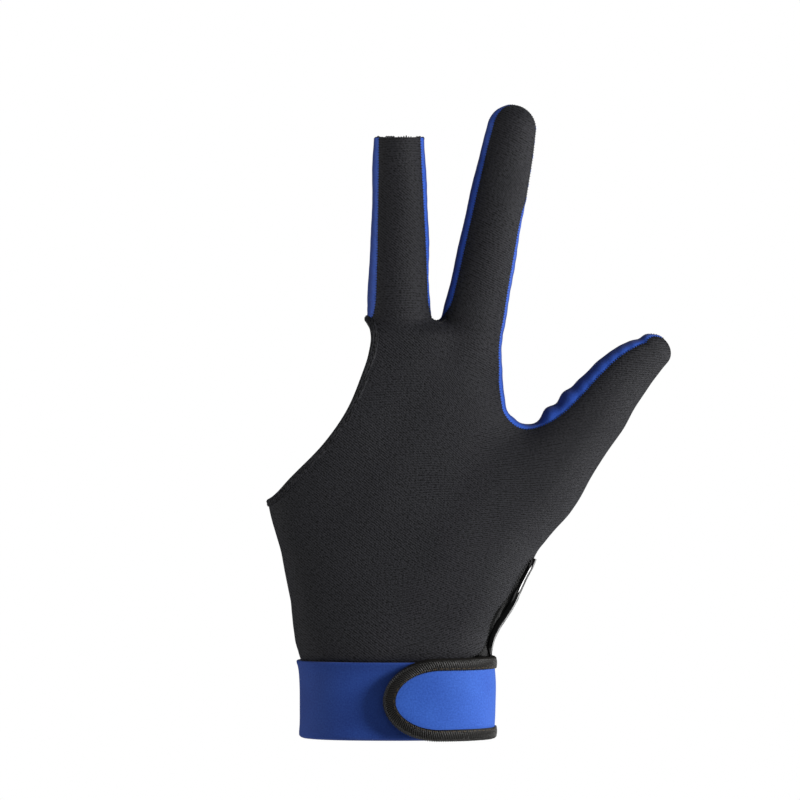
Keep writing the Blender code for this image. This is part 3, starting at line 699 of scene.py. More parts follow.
def tube(rings):
    """A solid swept through closed rings of points, with a flat cap at each end."""
    rows, columns = rings.shape[:2]
    faces = grid_faces(rows, columns, closed=True)
    last = (rows - 1) * columns
    faces += [tuple(range(columns))[::-1], tuple(range(last, last + columns))]
    return rings.reshape(-1, 3), faces


def waves(points, rows):
    """Soft unevenness: a sum of sine waves, each row giving a direction with its spacing, a start and a height."""
    total = np.zeros(len(points))
    for x, y, z, start, rise in rows:
        total += rise * np.sin(points @ (np.array((x, y, z)) * 2 * math.pi) + start)
    return total


def linear(hex_colour):
    """An sRGB hex value as the linear colour that shaders take."""
    found = []
    for start in (1, 3, 5):
        value = int(hex_colour[start : start + 2], 16) / 255
        found.append(value / 12.92 if value <= 0.04045 else ((value + 0.055) / 1.055) ** 2.4)
    return (*found, 1.0)


def add_node(tree, kind, inputs=None, **settings):
    """A new shader node with its settings, and a value or a link for each input that is named."""
    made = tree.nodes.new(kind)
    for key, value in settings.items():
        setattr(made, key, value)
    for key, value in (inputs or {}).items():
        if isinstance(value, bpy.types.NodeSocket):
            tree.links.new(value, made.inputs[key])
        else:
            made.inputs[key].default_value = value
    return made


def new_material(name, **sockets):
    """A material with a Principled BSDF: its tree, its shader, and itself."""
    material = bpy.data.materials.new(name)
    material.use_nodes = True
    tree = material.node_tree
    shader = tree.nodes["Principled BSDF"]
    for key, value in sockets.items():
        shader.inputs[key.replace("_", " ")].default_value = value
    return material, tree, shader


def wave_scale(pitch):
    """The Wave Texture's scale that puts its bands this far apart, in metres."""
    return math.pi / (10 * pitch)


def noise_scale(size):
    """The Noise Texture's scale that gives blotches of about this size, in metres."""
    return 1 / size


@functools.lru_cache(maxsize=None)
def black_knit():
    """Warp-knitted polyester and elastane jersey, dyed black.

    Fine ribs run across the hand, with a grain of loops between them, and the filament yarn has a grey sheen.
    """
    settings = bpy.context.scene.glove_cloth
    material, tree, shader = new_material(
        "polyester_jersey_warp_knitted", Roughness=0.62, Sheen_Weight=0.05, Sheen_Roughness=0.45, IOR=1.5,
        Specular_IOR_Level=0.20)
    shader.inputs["Sheen Tint"].default_value = linear("#b9bcc4")
    place = add_node(tree, "ShaderNodeUVMap", uv_map="cloth")
    turned = add_node(tree, "ShaderNodeMapping", {"Vector": place.outputs["UV"],
                                                 "Rotation": (0, 0, math.radians(-4))})
    ribs = add_node(tree, "ShaderNodeTexWave",
                    {"Vector": turned.outputs[0], "Scale": wave_scale(settings.rib_pitch), "Distortion": 3.2,
                     "Detail": 3.0, "Detail Scale": 1.4, "Detail Roughness": 0.7},
                    wave_type="BANDS", bands_direction="Y")
    # A second set of ribs crosses the first, and the two show by turns as the knit is pulled one way or other.
    crossed = add_node(tree, "ShaderNodeMapping", {"Vector": place.outputs["UV"],
                                                  "Rotation": (0, 0, math.radians(38))})
    twill = add_node(tree, "ShaderNodeTexWave",
                     {"Vector": crossed.outputs[0], "Scale": wave_scale(settings.rib_pitch * 0.9),
                      "Distortion": 3.0, "Detail": 2.0, "Detail Scale": 1.6, "Detail Roughness": 0.7},
                     wave_type="BANDS", bands_direction="Y")
    # Loops are 0.3 mm apart, too fine to show, so the grain is drawn about twice as coarse.
    grain = add_node(tree, "ShaderNodeTexNoise", {"Vector": place.outputs["UV"], "Scale": noise_scale(0.0008),
                                                  "Detail": 3.0, "Roughness": 0.7})
    # Where the cloth is stretched, the ribs open and show more.
    patches = add_node(tree, "ShaderNodeTexNoise", {"Vector": place.outputs["UV"], "Scale": noise_scale(0.030),
                                                    "Detail": 1.0})
    across = add_node(tree, "ShaderNodeSeparateXYZ", {0: place.outputs["UV"]})
    pulled = add_node(tree, "ShaderNodeMath", {0: across.outputs["X"], 1: 5.0, 2: patches.outputs["Fac"]},
                      operation="MULTIPLY_ADD")
    show = add_node(tree, "ShaderNodeMapRange", {"Value": pulled.outputs[0], "From Min": 0.42,
                                                 "From Max": 0.70})
    shown_ribs = add_node(tree, "ShaderNodeMix", {"Factor": show.outputs[0], 2: twill.outputs["Fac"],
                                                  3: ribs.outputs["Fac"]})
    faint = add_node(tree, "ShaderNodeMath", {0: shown_ribs.outputs[0], 1: 0.60}, operation="MULTIPLY")
    strong_grain = add_node(tree, "ShaderNodeMapRange", {"Value": grain.outputs["Fac"], "From Min": 0.3,
                                                         "From Max": 0.7})
    mixed = add_node(tree, "ShaderNodeMath", {0: faint.outputs[0], 1: strong_grain.outputs[0]},
                     operation="ADD")
    colour = add_node(tree, "ShaderNodeValToRGB", {"Fac": mixed.outputs[0]})
    colour.color_ramp.elements[0].position = 0.30
    colour.color_ramp.elements[0].color = linear("#060607")
    colour.color_ramp.elements[1].position = 0.95
    colour.color_ramp.elements[1].color = linear("#2e2e32")
    bump = add_node(tree, "ShaderNodeBump", {"Height": mixed.outputs[0], "Strength": 0.75, "Distance": 0.00018})
    tree.links.new(colour.outputs["Color"], shader.inputs["Base Color"])
    tree.links.new(bump.outputs["Normal"], shader.inputs["Normal"])
    return material


def blue_cloth(name, deep, pale, size, bump_height, **sockets):
    """Blue cloth whose loops show as a fine grain between two tones: the material and its colour's node."""
    material, tree, shader = new_material(name, **sockets)
    place = add_node(tree, "ShaderNodeUVMap", uv_map="cloth")
    grain = add_node(tree, "ShaderNodeTexNoise", {"Vector": place.outputs["UV"], "Scale": noise_scale(size),
                                                  "Detail": 2.5, "Roughness": 0.65})
    spread_out = add_node(tree, "ShaderNodeMapRange", {"Value": grain.outputs["Fac"], "From Min": 0.30,
                                                      "From Max": 0.70})
    cloudy = add_node(tree, "ShaderNodeTexNoise", {"Vector": place.outputs["UV"], "Scale": noise_scale(0.012),
                                                   "Detail": 1.0})
    tone = add_node(tree, "ShaderNodeMath", {0: spread_out.outputs[0], 1: cloudy.outputs["Fac"]},
                    operation="ADD")
    half = add_node(tree, "ShaderNodeMath", {0: tone.outputs[0], 1: 0.5}, operation="MULTIPLY")
    colour = add_node(tree, "ShaderNodeMix", {"Factor": half.outputs[0]}, data_type="RGBA")
    colour.inputs[6].default_value = linear(deep)
    colour.inputs[7].default_value = linear(pale)
    bump = add_node(tree, "ShaderNodeBump", {"Height": grain.outputs["Fac"], "Strength": 0.5,
                                             "Distance": bump_height})
    tree.links.new(colour.outputs[2], shader.inputs["Base Color"])
    tree.links.new(bump.outputs["Normal"], shader.inputs["Normal"])
    return material, colour


@functools.lru_cache(maxsize=None)
def blue_knit():
    """Blue jersey, circular knitted: a smooth face whose loops show as a slight grain.

    Past the seam on the back its colour is painted deeper blue, as shade where the strip turns away from the light; by
    the seam it is left pale.
    """
    material, colour = blue_cloth("polyester_jersey_blue_circular_knitted", "#2048ae", "#4070e0", 0.0006, 0.00012,
                                  Roughness=0.60, Sheen_Weight=0.08, Specular_IOR_Level=0.3)
    # Painted shade: the strip's colour deepens with its height from the back seam, where it turns away from the light.
    return painted_shade_past(material, colour, "Y", 0.0008, 0.0026, "#b5b0b8")


def painted_shade_past(material, colour, axis, start, end, factor):
    """The blue cloth's colour painted darker past a place along one of its two directions, as shade."""
    tree = material.node_tree
    place = add_node(tree, "ShaderNodeUVMap", uv_map="cloth")
    along = add_node(tree, "ShaderNodeSeparateXYZ", {0: place.outputs["UV"]})
    reached = add_node(tree, "ShaderNodeMapRange", {"Value": along.outputs[axis], "From Min": start, "From Max": end})
    darker = add_node(tree, "ShaderNodeMix", {"Factor": reached.outputs[0], 6: colour.outputs[2]},
                      data_type="RGBA", blend_type="MULTIPLY")
    darker.inputs[7].default_value = linear(factor)
    tree.links.new(darker.outputs[2], tree.nodes["Principled BSDF"].inputs["Base Color"])
    return material


# Way from the tab's tip after which the band's colour is painted darker, as shade beyond the raised tab
TAB_UNSHADED_WAY = 0.046


@functools.lru_cache(maxsize=None)
def neoprene():
    """Foamed neoprene faced with blue nylon jersey: matt, with a soft speckle of loops, and no shine.

    Past the tab's end the band's colour is painted darker, as shade beside the raised tab and where the band turns away
    from the light.
    """
    material, colour = blue_cloth("neoprene_faced_with_nylon_jersey", "#2149aa", "#4174da", 0.0006, 0.00012,
                                  Roughness=0.72, Sheen_Weight=0.08, Specular_IOR_Level=0.25)
    # Painted shade: the band's colour is darkened past the tab's end.
    return painted_shade_past(material, colour, "X", TAB_UNSHADED_WAY, TAB_UNSHADED_WAY + 0.02, "#bfbbc4")


@functools.lru_cache(maxsize=None)
def ribbon():
    """Black polyester grosgrain, woven: hard ribs across the tape with a dull shine on each, and painted shade between
    them.
    """
    material, tree, shader = new_material("polyester_grosgrain_woven", Roughness=0.42, Specular_IOR_Level=0.45)
    place = add_node(tree, "ShaderNodeUVMap", uv_map="cloth")
    threads = add_node(tree, "ShaderNodeTexNoise", {"Vector": place.outputs["UV"],
                                                    "Scale": noise_scale(0.0005), "Detail": 2.0})
    colour = add_node(tree, "ShaderNodeMix", {"Factor": threads.outputs["Fac"]}, data_type="RGBA")
    colour.inputs[6].default_value = linear("#11100f")
    colour.inputs[7].default_value = linear("#2f2d2a")
    ways = add_node(tree, "ShaderNodeSeparateXYZ", {0: place.outputs["UV"]})
    askew = add_node(tree, "ShaderNodeMath", {0: ways.outputs["Y"], 1: RIB_SLANT, 2: ways.outputs["X"]},
                     operation="MULTIPLY_ADD")
    turns = add_node(tree, "ShaderNodeMath", {0: askew.outputs[0], 1: 2 * math.pi / RIB_PITCH},
                     operation="MULTIPLY")
    ribs = add_node(tree, "ShaderNodeMath", {0: turns.outputs[0]}, operation="COSINE")
    # Painted shade: the colour is darkened between the ribs, where shade falls.
    gap_shade = add_node(tree, "ShaderNodeMapRange", {"Value": ribs.outputs[0], "From Min": -1.0, "From Max": 0.6,
                                                 "To Min": 0.15, "To Max": 1.0})
    shaded = add_node(tree, "ShaderNodeMix", {"Factor": 1.0, 6: colour.outputs[2], 7: gap_shade.outputs[0]},
                      data_type="RGBA", blend_type="MULTIPLY")
    bump = add_node(tree, "ShaderNodeBump", {"Height": threads.outputs["Fac"], "Strength": 0.4,
                                             "Distance": 0.0001})
    tree.links.new(shaded.outputs[2], shader.inputs["Base Color"])
    tree.links.new(bump.outputs["Normal"], shader.inputs["Normal"])
    return material


@functools.lru_cache(maxsize=None)
def coated_leather(name, roughness, coat, specular):
    """Split leather coated with black polyurethane: a shine over a faint pebble, wet-looking where it is new."""
    material, tree, shader = new_material(name, Roughness=roughness, Coat_Weight=coat, Coat_Roughness=0.06,
                                          Specular_IOR_Level=specular)
    place = add_node(tree, "ShaderNodeUVMap", uv_map="cloth")
    pebble = add_node(tree, "ShaderNodeTexVoronoi", {"Vector": place.outputs["UV"], "Scale": 1 / 0.0012})
    tone = add_node(tree, "ShaderNodeMix", {"Factor": pebble.outputs["Distance"]}, data_type="RGBA")
    tone.inputs[6].default_value = linear("#050505")
    tone.inputs[7].default_value = linear("#0a0a0a")
    bump = add_node(tree, "ShaderNodeBump", {"Height": pebble.outputs["Distance"], "Strength": 0.05,
                                             "Distance": 0.0001})
    tree.links.new(tone.outputs[2], shader.inputs["Base Color"])
    tree.links.new(bump.outputs["Normal"], shader.inputs["Normal"])
    return material


def thread_material(name, deep, pale):
    """Spun polyester sewing thread: dull, and a little lighter along each ply."""
    material, tree, shader = new_material(name, Roughness=0.6, Specular_IOR_Level=0.35)
    place = add_node(tree, "ShaderNodeTexCoord")
    ply = add_node(tree, "ShaderNodeTexNoise", {"Vector": place.outputs["Object"],
                                                "Scale": noise_scale(0.0008), "Detail": 1.0})
    colour = add_node(tree, "ShaderNodeMix", {"Factor": ply.outputs["Fac"]}, data_type="RGBA")
    colour.inputs[6].default_value = linear(deep)
    colour.inputs[7].default_value = linear(pale)
    tree.links.new(colour.outputs[2], shader.inputs["Base Color"])
    return material


@functools.lru_cache(maxsize=None)
def black_thread():
    return thread_material("polyester_thread_black", "#101010", "#2a2a2c")


@functools.lru_cache(maxsize=None)
def brown_thread():
    return thread_material("polyester_thread_brown", "#2a2116", "#574629")


@functools.lru_cache(maxsize=None)
def hook_pad():
    """Nylon hook tape, woven and cut: a dull black pad speckled by the tips of its hooks."""
    material, tree, shader = new_material("nylon_hook_tape_woven", Roughness=0.55)
    place = add_node(tree, "ShaderNodeTexCoord")
    hooks = add_node(tree, "ShaderNodeTexVoronoi", {"Vector": place.outputs["Object"], "Scale": 1 / 0.0015})
    colour = add_node(tree, "ShaderNodeMix", {"Factor": hooks.outputs["Distance"]}, data_type="RGBA")
    colour.inputs[6].default_value = linear("#3a3a3c")
    colour.inputs[7].default_value = linear("#0e0e0f")
    bump = add_node(tree, "ShaderNodeBump", {"Height": hooks.outputs["Distance"], "Strength": 0.8,
                                             "Distance": 0.0004}, invert=True)
    tree.links.new(colour.outputs[2], shader.inputs["Base Color"])
    tree.links.new(bump.outputs["Normal"], shader.inputs["Normal"])
    return material


def add_piece(name, points, faces, material, cloth=None, sharp=60):
    """A smooth, named piece that rides with the glove, with its weave coordinates in metres."""
    mesh = bpy.data.meshes.new(name)
    mesh.from_pydata(points.tolist(), [], faces)
    mesh.update()
    if cloth is not None:
        layer = mesh.uv_layers.new(name="cloth")
        corners = np.empty(len(mesh.loops), np.int64)
        mesh.loops.foreach_get("vertex_index", corners)
        layer.data.foreach_set("uv", np.asarray(cloth, np.float32)[corners].ravel())
    mesh.shade_smooth()
    mesh.set_sharp_from_angle(angle=math.radians(sharp))
    mesh.materials.append(material)
    piece = bpy.data.objects.new(name, mesh)
    bpy.context.scene.collection.objects.link(piece)
    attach(piece, "root")
    return piece


# Rows of soft unevenness in the knit: turns per metre along x, y and z, start, and height
KNIT_WAVES = (
    (21.0, 9.0, 17.0, 0.4, 0.00016),
    (-33.0, 12.0, 26.0, 1.9, 0.00011),
    (11.0, -20.0, 48.0, 3.1, 0.00009),
    (57.0, 10.0, -39.0, 5.0, 0.00005),
)
SEAM_GROOVE = 0.00012
SEAM_WIDTH = 0.0005


def relief(points, far):
    """How far the knit stands out: soft waves, held down in a groove at each seam."""
    return waves(points, KNIT_WAVES) * np.clip(far / 0.003, 0, 1) - SEAM_GROOVE * np.exp(-(far / SEAM_WIDTH) ** 2)


def past(x, start):
    """A length that stays near 0 before a start and grows evenly after it."""
    return (x - start + np.sqrt((x - start) ** 2 + 0.006**2)) / 2


def rib_lines(points):
    """The panels' weave coordinates. The ribs run level but where the cloth is pulled askew: they fall
    towards the index finger's thumb side, and rise towards the slit at the wrist."""
    x, z = points[:, 0], points[:, 2]
    index = 0.62 * (past(x, 0.012) - past(x, 0.050)) * ease((z - 0.070) / 0.050)
    thumb = 0.16 * past(x, 0.050)
    wrist = -0.34 * past(x, 0.004) * (1 - ease((z - 0.035) / 0.045))
    return np.column_stack((x, z + index + thumb + wrist))


def build_panel(name, side):
    points, faces, far = panel_surface(side)
    outward = form_slope(points)
    moved = points + outward * relief(points, far)[:, None]
    solid, faces = thicken(moved, outward, faces, KNIT_WALL)
    cloth = np.tile(rib_lines(points), (2, 1))
    return add_piece(name, bent(solid), faces, black_knit(), cloth)


# Small folds of the blue cloth where it bunches between the index finger and the thumb: share of the way
# along the strip, height, and half its length
STRIP_FOLDS = {
    "outer": (),
    "crotch": (),
    "web": (
        (0.640, 0.0004, 0.0014),
        (0.684, -0.0005, 0.0022),
        (0.716, 0.0012, 0.0026),
        (0.738, -0.0003, 0.0016),
        (0.762, 0.0010, 0.0028),
        (0.800, 0.0004, 0.0024),
        (0.850, 0.0003, 0.0030),
    ),
}


def folds(way, walk_name):
    """How far a strip's folds stand out along it."""
    rise = np.zeros(len(way))
    for share, tall, half in STRIP_FOLDS[walk_name]:
        rise += tall * np.exp(-(((way - share * way[-1]) / half) ** 2))
    return rise


def build_strip(name, walk_name):
    grid, way = glove_walks()[1][walk_name].strip()
    rows, columns = grid.shape[:2]
    points = grid.reshape(-1, 3)
    outward = form_slope(points)
    edge = np.minimum(np.abs(grid[..., 1] - grid[:1, :, 1]), np.abs(grid[-1:, :, 1] - grid[..., 1]))
    far = edge.ravel()
    puckers = bpy.context.scene.glove_cloth.pucker_depth * np.sin(np.tile(way, rows) * 2 * math.pi / 0.0046)
    rise = relief(points, far) + puckers * np.exp(-far / 0.0022) * np.clip(far / 0.0004, 0, 1)
    rise += np.tile(folds(way, walk_name), rows) * ease(far / 0.0030)
    moved = points + outward * rise[:, None]
    solid, faces = thicken(moved, outward, grid_faces(rows, columns), KNIT_WALL)
    cloth = np.column_stack((np.tile(way, rows), (grid[..., 1] - grid[:1, :, 1]).ravel()))
    return add_piece(name, bent(solid), faces, blue_knit(), np.concatenate((cloth, cloth)))


def frames_along(line, outward, closed=False):
    """The direction along a line, and the one across it on the surface, at each of its points."""
    ahead = np.roll(line, -1, 0) - np.roll(line, 1, 0) if closed else np.gradient(line, axis=0)
    ahead /= np.linalg.norm(ahead, axis=1, keepdims=True)
    across = np.cross(ahead, outward)
    across /= np.linalg.norm(across, axis=1, keepdims=True)
    return ahead, across


THREAD_SIDES = 6


def threads(lines, radius):
    """Round threads through rows of points: one array (threads, points, 3), tapered at both ends."""
    count, steps = lines.shape[:2]
    ahead = np.gradient(lines, axis=1)
    ahead /= np.linalg.norm(ahead, axis=2, keepdims=True)
    helper = np.where(np.abs(ahead[..., 2:3]) < 0.9, (0.0, 0.0, 1.0), (1.0, 0.0, 0.0))
    side = np.cross(ahead, helper)
    side /= np.linalg.norm(side, axis=2, keepdims=True)
    up = np.cross(side, ahead)
    at = np.linspace(-1, 1, steps)
    taper = np.sqrt(np.clip(1 - 0.75 * np.abs(at) ** 4, 0.1, 1))[None, :, None, None]
    turn = np.arange(THREAD_SIDES) / THREAD_SIDES * 2 * math.pi
    ring = side[:, :, None] * np.cos(turn)[:, None] + up[:, :, None] * np.sin(turn)[:, None]
    points = (lines[:, :, None] + ring * radius * taper).reshape(-1, 3)
    faces = []
    each = steps * THREAD_SIDES
    pattern = grid_faces(steps, THREAD_SIDES, closed=True)
    pattern += [tuple(range(THREAD_SIDES))[::-1], tuple(range(each - THREAD_SIDES, each))]
    for number in range(count):
        faces += [tuple(corner + number * each for corner in face) for face in pattern]
    return points, faces


def stitches_along(line, outward, length, gap, rise, closed=False, inset=0.0):
    """Sewn stitches on a line: each comes up, lies along it and goes down again, as points of its middle."""
    way = distances(line)
    starts = np.arange(0, way[-1] - length, length + gap)
    share = np.linspace(0, 1, 6)
    at = starts[:, None] + share[None] * length
    middle = np.stack([np.interp(at, way, line[:, k]) for k in range(3)], -1)
    up = np.stack([np.interp(at, way, outward[:, k]) for k in range(3)], -1)
    lift = rise * (1 - (2 * share - 1) ** 4) - inset
    return middle + up * lift[None, :, None]


def bridges_over(line, outward, across, pitch, half, rise):
    """Short threads that cross a seam at even steps, from one side to the other."""
    way = distances(line)
    at = np.arange(pitch / 2, way[-1], pitch)
    place, up, side = (np.stack([np.interp(at, way, values[:, k]) for k in range(3)], -1)
                       for values in (line, outward, across))
    share = np.linspace(-1, 1, 5)
    lift = rise * (1 - share**2) - rise * 0.6
    return place[:, None] + side[:, None] * (share * half)[None, :, None] + up[:, None] * lift[None, :, None]


def build_stitching(name):
    """The seams' fine overlock: short black threads that bridge each seam between the cloth pieces."""
    walks = glove_walks()[1]
    found = []
    for walk_name, side in (("outer", BACK), ("outer", PALM_SIDE), ("crotch", BACK), ("crotch", PALM_SIDE),
                            ("web", BACK), ("web", PALM_SIDE)):
        walk = walks[walk_name]
        line = walk.band(side)[0]
        outward = form_slope(line)
        across = frames_along(line, outward)[1]
        found.append(bridges_over(line, outward, across, 0.00085, 0.00042, 0.00012))
    points, faces = threads(np.concatenate(found), 0.00012)
    return add_piece(name, bent(points), faces, black_thread())


def hem_section():
    """The hem's section: inset from the folded edge, and rise over the cloth's face."""
    low, high, width = HEM_RISE - HEM_WALL, HEM_RISE, HEM_WIDTH
    section = []
    for turn in np.linspace(0, math.pi, 7):
        section.append((HEM_WALL / 2 * (1 - math.sin(turn)), (low + high) / 2 - HEM_WALL / 2 * math.cos(turn)))
    for share in np.linspace(0, 1, 6)[1:]:
        section.append((HEM_WALL / 2 + (width - HEM_WALL / 2) * share, high - 0.0001 * share**6))
    section += [(width + 0.0001, high - 0.0004), (width, low + 0.0002), (width - 0.0002, low)]
    return section


HEM_STATIONS = 56
HEM_FINE = 460


def build_hem(name):
    rings = []
    line0 = opening_loop(HEM_FINE, 0.0)
    way = np.concatenate(([0], np.cumsum(np.linalg.norm(np.roll(line0, -1, 0) - line0, axis=1))))
    ripple = 0.00010 * np.sin(way[:-1] / way[-1] * 2 * math.pi * 60) + 0.00012 * np.sin(way[:-1] * 2 * math.pi / 0.011)
    for inset, rise in hem_section():
        line = opening_loop(HEM_FINE, inset)
        rings.append(line + form_slope(line) * (rise + ripple * (rise > 0))[:, None])
    rings = np.stack(rings, 1)
    points, faces = ring_loop(rings)
    across = distances(np.array(hem_section() + [hem_section()[0]]))[:-1]
    cloth = np.column_stack((np.repeat(way[:-1], rings.shape[1]), np.tile(across, HEM_FINE)))
    hem = add_piece(name, bent(points), [face[::-1] for face in faces], black_knit(), cloth)
    found = []
    for inset in (0.0008, 0.0018):
        line = opening_loop(HEM_FINE, inset)
        line = np.concatenate((line, line[:1]))
        found.append(stitches_along(line, form_slope(line), 0.0016, 0.0006, 0.00022, inset=-HEM_RISE + 0.0001))
    points, faces = threads(np.concatenate(found), 0.00013)
    sewn = add_piece(name + "_stitches", bent(points), faces, black_thread())
    return hem, sewn


FACING_OPEN = 0.0004
FACING_TUCKED = 0.0013
FACING_ROWS = 33


def build_facing(name):
    """The glossy facing of the wrist's slit: it shows between the slit's edge and the palm's edge."""
    walk = glove_walks()[1]["wrist"]
    line = walk.line
    slit = slit_line()[::-1]
    reach = np.interp(line[:, 1], slit[:, 1], slit[:, 0])
    open_back = np.abs(height(np.column_stack((reach, line[:, 1])), BACK, FACING_OPEN))
    open_palm = walk.seam[PALM_SIDE]
    level = np.linspace(-1, 1, FACING_ROWS)
    under = 0.0026
    back = -(open_back + under * np.clip(open_back / 0.004, 0, 1))
    palm = open_palm + under * np.clip(open_palm / 0.004, 0, 1)
    levels = back[:, None] + (palm - back)[:, None] * (level[None] + 1) / 2
    depth = np.where((levels < -open_back[:, None] + 0.0004) | (levels > open_palm[:, None] - 0.0002),
                     FACING_TUCKED, FACING_OPEN)
    grid = []
    plan = climb(line, levels[:, FACING_ROWS // 2], depth[:, FACING_ROWS // 2])
    rows = {}
    for start, stop, step in ((FACING_ROWS // 2, FACING_ROWS, 1), (FACING_ROWS // 2, -1, -1)):
        moving = plan.copy()
        for k in range(start, stop, step):
            moving = settle(moving, levels[:, k], depth[:, k])
            rows[k] = np.column_stack((moving[:, 0], levels[:, k], moving[:, 1]))
    grid = np.stack([rows[k] for k in range(FACING_ROWS)])
    count, columns = grid.shape[:2]
    points = grid.reshape(-1, 3)
    outward = form_slope(points)
    wrinkles = waves(points, ((0, 30, 90, 0.3, 0.00012), (20, 0, 210, 1.1, 0.00006)))
    solid, faces = thicken(points + outward * wrinkles[:, None], outward, grid_faces(count, columns), 0.0009)
    cloth = np.column_stack((np.tile(walk.way, count), points[:, 1]))
    facing = add_piece(name, bent(solid), faces,
                       coated_leather("leather_polyurethane_coated_creased", 0.42, 0.0, 0.12),
                       np.concatenate((cloth, cloth)))
    edge = raised(slit_line(), BACK)
    edge = edge[edge[:, 2] > CUFF_HEIGHT - 0.001]
    outward = form_slope(edge)
    across = frames_along(edge, outward)[1]
    lines = bridges_over(edge, outward, across, 0.0010, 0.0007, 0.00035)
    points, faces = threads(lines, 0.00016)
    sewn = add_piece(name + "_overlock", bent(points), faces, black_thread())
    return facing, sewn


ROLL_FLATNESS = 0.75
ROLL_SIDES = 40
# The flat that runs along the roll: the way it looks, and how far out it lies as a share of the half width
ROLL_FLAT_LOOKS = (-math.cos(math.radians(35)), math.sin(math.radians(35)))
ROLL_FLAT_OUT = 0.86


def roll_section(angle):
    """A point of the roll's section, as shares of its half width across and outwards."""
    across, proud = math.cos(angle), ROLL_FLATNESS * math.sin(angle)
    over = max(across * ROLL_FLAT_LOOKS[0] + proud * ROLL_FLAT_LOOKS[1] - ROLL_FLAT_OUT, 0.0)
    return across - over * ROLL_FLAT_LOOKS[0], proud - over * ROLL_FLAT_LOOKS[1]


def build_facing_roll(name):
    """The facing's rolled outer edge, which stands proud beside the slit and catches a thin line of light."""
    rows = np.array([(*palm_point(along, up), half / 1000) for along, up, half in FACING_ROLL])
    rows = resample(smooth_table(np.column_stack((distances(rows[:, :2]), rows)))[1], EDGE_STEP / 2)
    middle = np.column_stack((rows[:, 0], height(rows[:, :2], np.full(len(rows), BACK)), rows[:, 1]))
    for _ in range(30):
        middle[1:-1, 1] = (middle[:-2, 1] + 2 * middle[1:-1, 1] + middle[2:, 1]) / 4
    ahead = np.gradient(middle, axis=0)
    ahead /= np.linalg.norm(ahead, axis=1, keepdims=True)
    across = np.cross(ahead, (0.0, -1.0, 0.0))
    across /= np.linalg.norm(across, axis=1, keepdims=True)
    proud = np.cross(across, ahead)
    half = rows[:, 2] + waves(middle, ((0, 25, 70, 0.4, 0.00005),))
    rings = []
    for angle in np.arange(ROLL_SIDES) / ROLL_SIDES * 2 * math.pi:
        wide, tall = roll_section(angle)
        rings.append(middle + across * (half * wide)[:, None] + proud * (half * tall)[:, None])
    points, faces = tube(np.stack(rings, 1))
    cloth = np.column_stack((np.repeat(distances(middle), ROLL_SIDES),
                             np.tile(np.arange(ROLL_SIDES) * 0.0004, len(middle))))
    points = bent(points)
    material = coated_leather("leather_polyurethane_coated", 0.12, 0.3, 0.4)
    return add_piece(name, points, outward_solid(points, faces), material, cloth)


def outward_solid(points, faces):
    """The closed faces turned outwards: all of them are turned over when the volume comes out below 0."""
    volume = 0.0
    for face in faces:
        a = points[face[0]]
        for k in range(1, len(face) - 1):
            volume += np.dot(a, np.cross(points[face[k]], points[face[k + 1]]))
    return faces if volume > 0 else [tuple(face)[::-1] for face in faces]


def cuff_point(turn, out, z):
    """Points on the cuff: turn is 0 at the thumb and a quarter at the palm, out the distance from the
    inner face of its first turn."""
    half_width = (CUFF_WIDTH - 2 * CUFF_WALL - LAP) / 2
    half_depth = (CUFF_DEPTH - 2 * CUFF_WALL - LAP) / 2
    middle_x = -CUFF_WIDTH / 2 + CUFF_WALL + half_width
    middle_y = CUFF_DEPTH / 2 - CUFF_WALL - half_depth
    angle = np.asarray(turn) * 2 * math.pi
    across, deep = np.cos(angle), np.sin(angle)
    x = middle_x + (half_width + out) * np.copysign(np.abs(across) ** (2 / PALM_POWER), across)
    y = middle_y + (half_depth + out) * np.copysign(np.abs(deep) ** (2 / PALM_POWER), deep)
    return np.stack(np.broadcast_arrays(x, y, z), -1)


def ease(share):
    share = np.clip(share, 0.0, 1.0)
    return share * share * (3 - 2 * share)


def lap_out(turn):
    """How far the band stands out: a whole lap at the tab, and nothing past the palm."""
    return LAP * (1 - ease((turn - LAP_FROM) / (LAP_TO - LAP_FROM)))


def tab_stations(count, inset=0.0):
    """Lengths from the tab's tip to the thumb side, closer together round the tip, and the turn at each."""
    turns = np.linspace(TAB_TIP_TURN, TAB_ROOT_TURN, PROFILE_SAMPLES)
    way = distances(cuff_point(turns, LAP, 0.0))
    lengths = inset + (way[-1] - inset) * (1 - np.cos(np.linspace(0, math.pi / 2, count)))
    return lengths, np.interp(lengths, way, turns)


def tab_half_height(length, inset=0.0):
    """Half the tab's height at a length from its tip: a round end that runs into straight sides."""
    share = np.minimum((length - inset) / (TAB_ROUND - inset), 1.0)
    return (TAB_HEIGHT / 2 - inset) * np.sqrt(np.maximum(1 - (1 - share) ** 2, 0.0))


BAND_FACE = 22
# How far the band's lower edge is drawn up
BAND_LIFT = 0.0007
EDGE_TURN = 5


def band_rings(turns, low, high):
    """The band's rounded section at each turn: points up the outer face, over the top and down the inner face."""
    radius = np.minimum(CUFF_WALL * 0.45, (high - low) * 0.3)
    corners = ((1, -1, -90), (1, 1, 0), (-1, 1, 90), (-1, -1, 180))
    columns = []
    for number, (outer, upper, start) in enumerate(corners):
        depth = np.where(outer > 0, CUFF_WALL - radius, radius)
        z = np.where(upper > 0, high - radius, low + radius)
        for angle in np.radians(np.linspace(start, start + 90, EDGE_TURN)):
            columns.append((depth + radius * math.cos(angle), z + radius * math.sin(angle)))
        if number in (0, 2):
            there = high - radius if number == 0 else low + radius
            for share in np.linspace(0, 1, BAND_FACE)[1:-1]:
                columns.append((depth + np.copysign(radius, outer), z + (there - z) * share))
    return [(depth, z) for depth, z in columns]


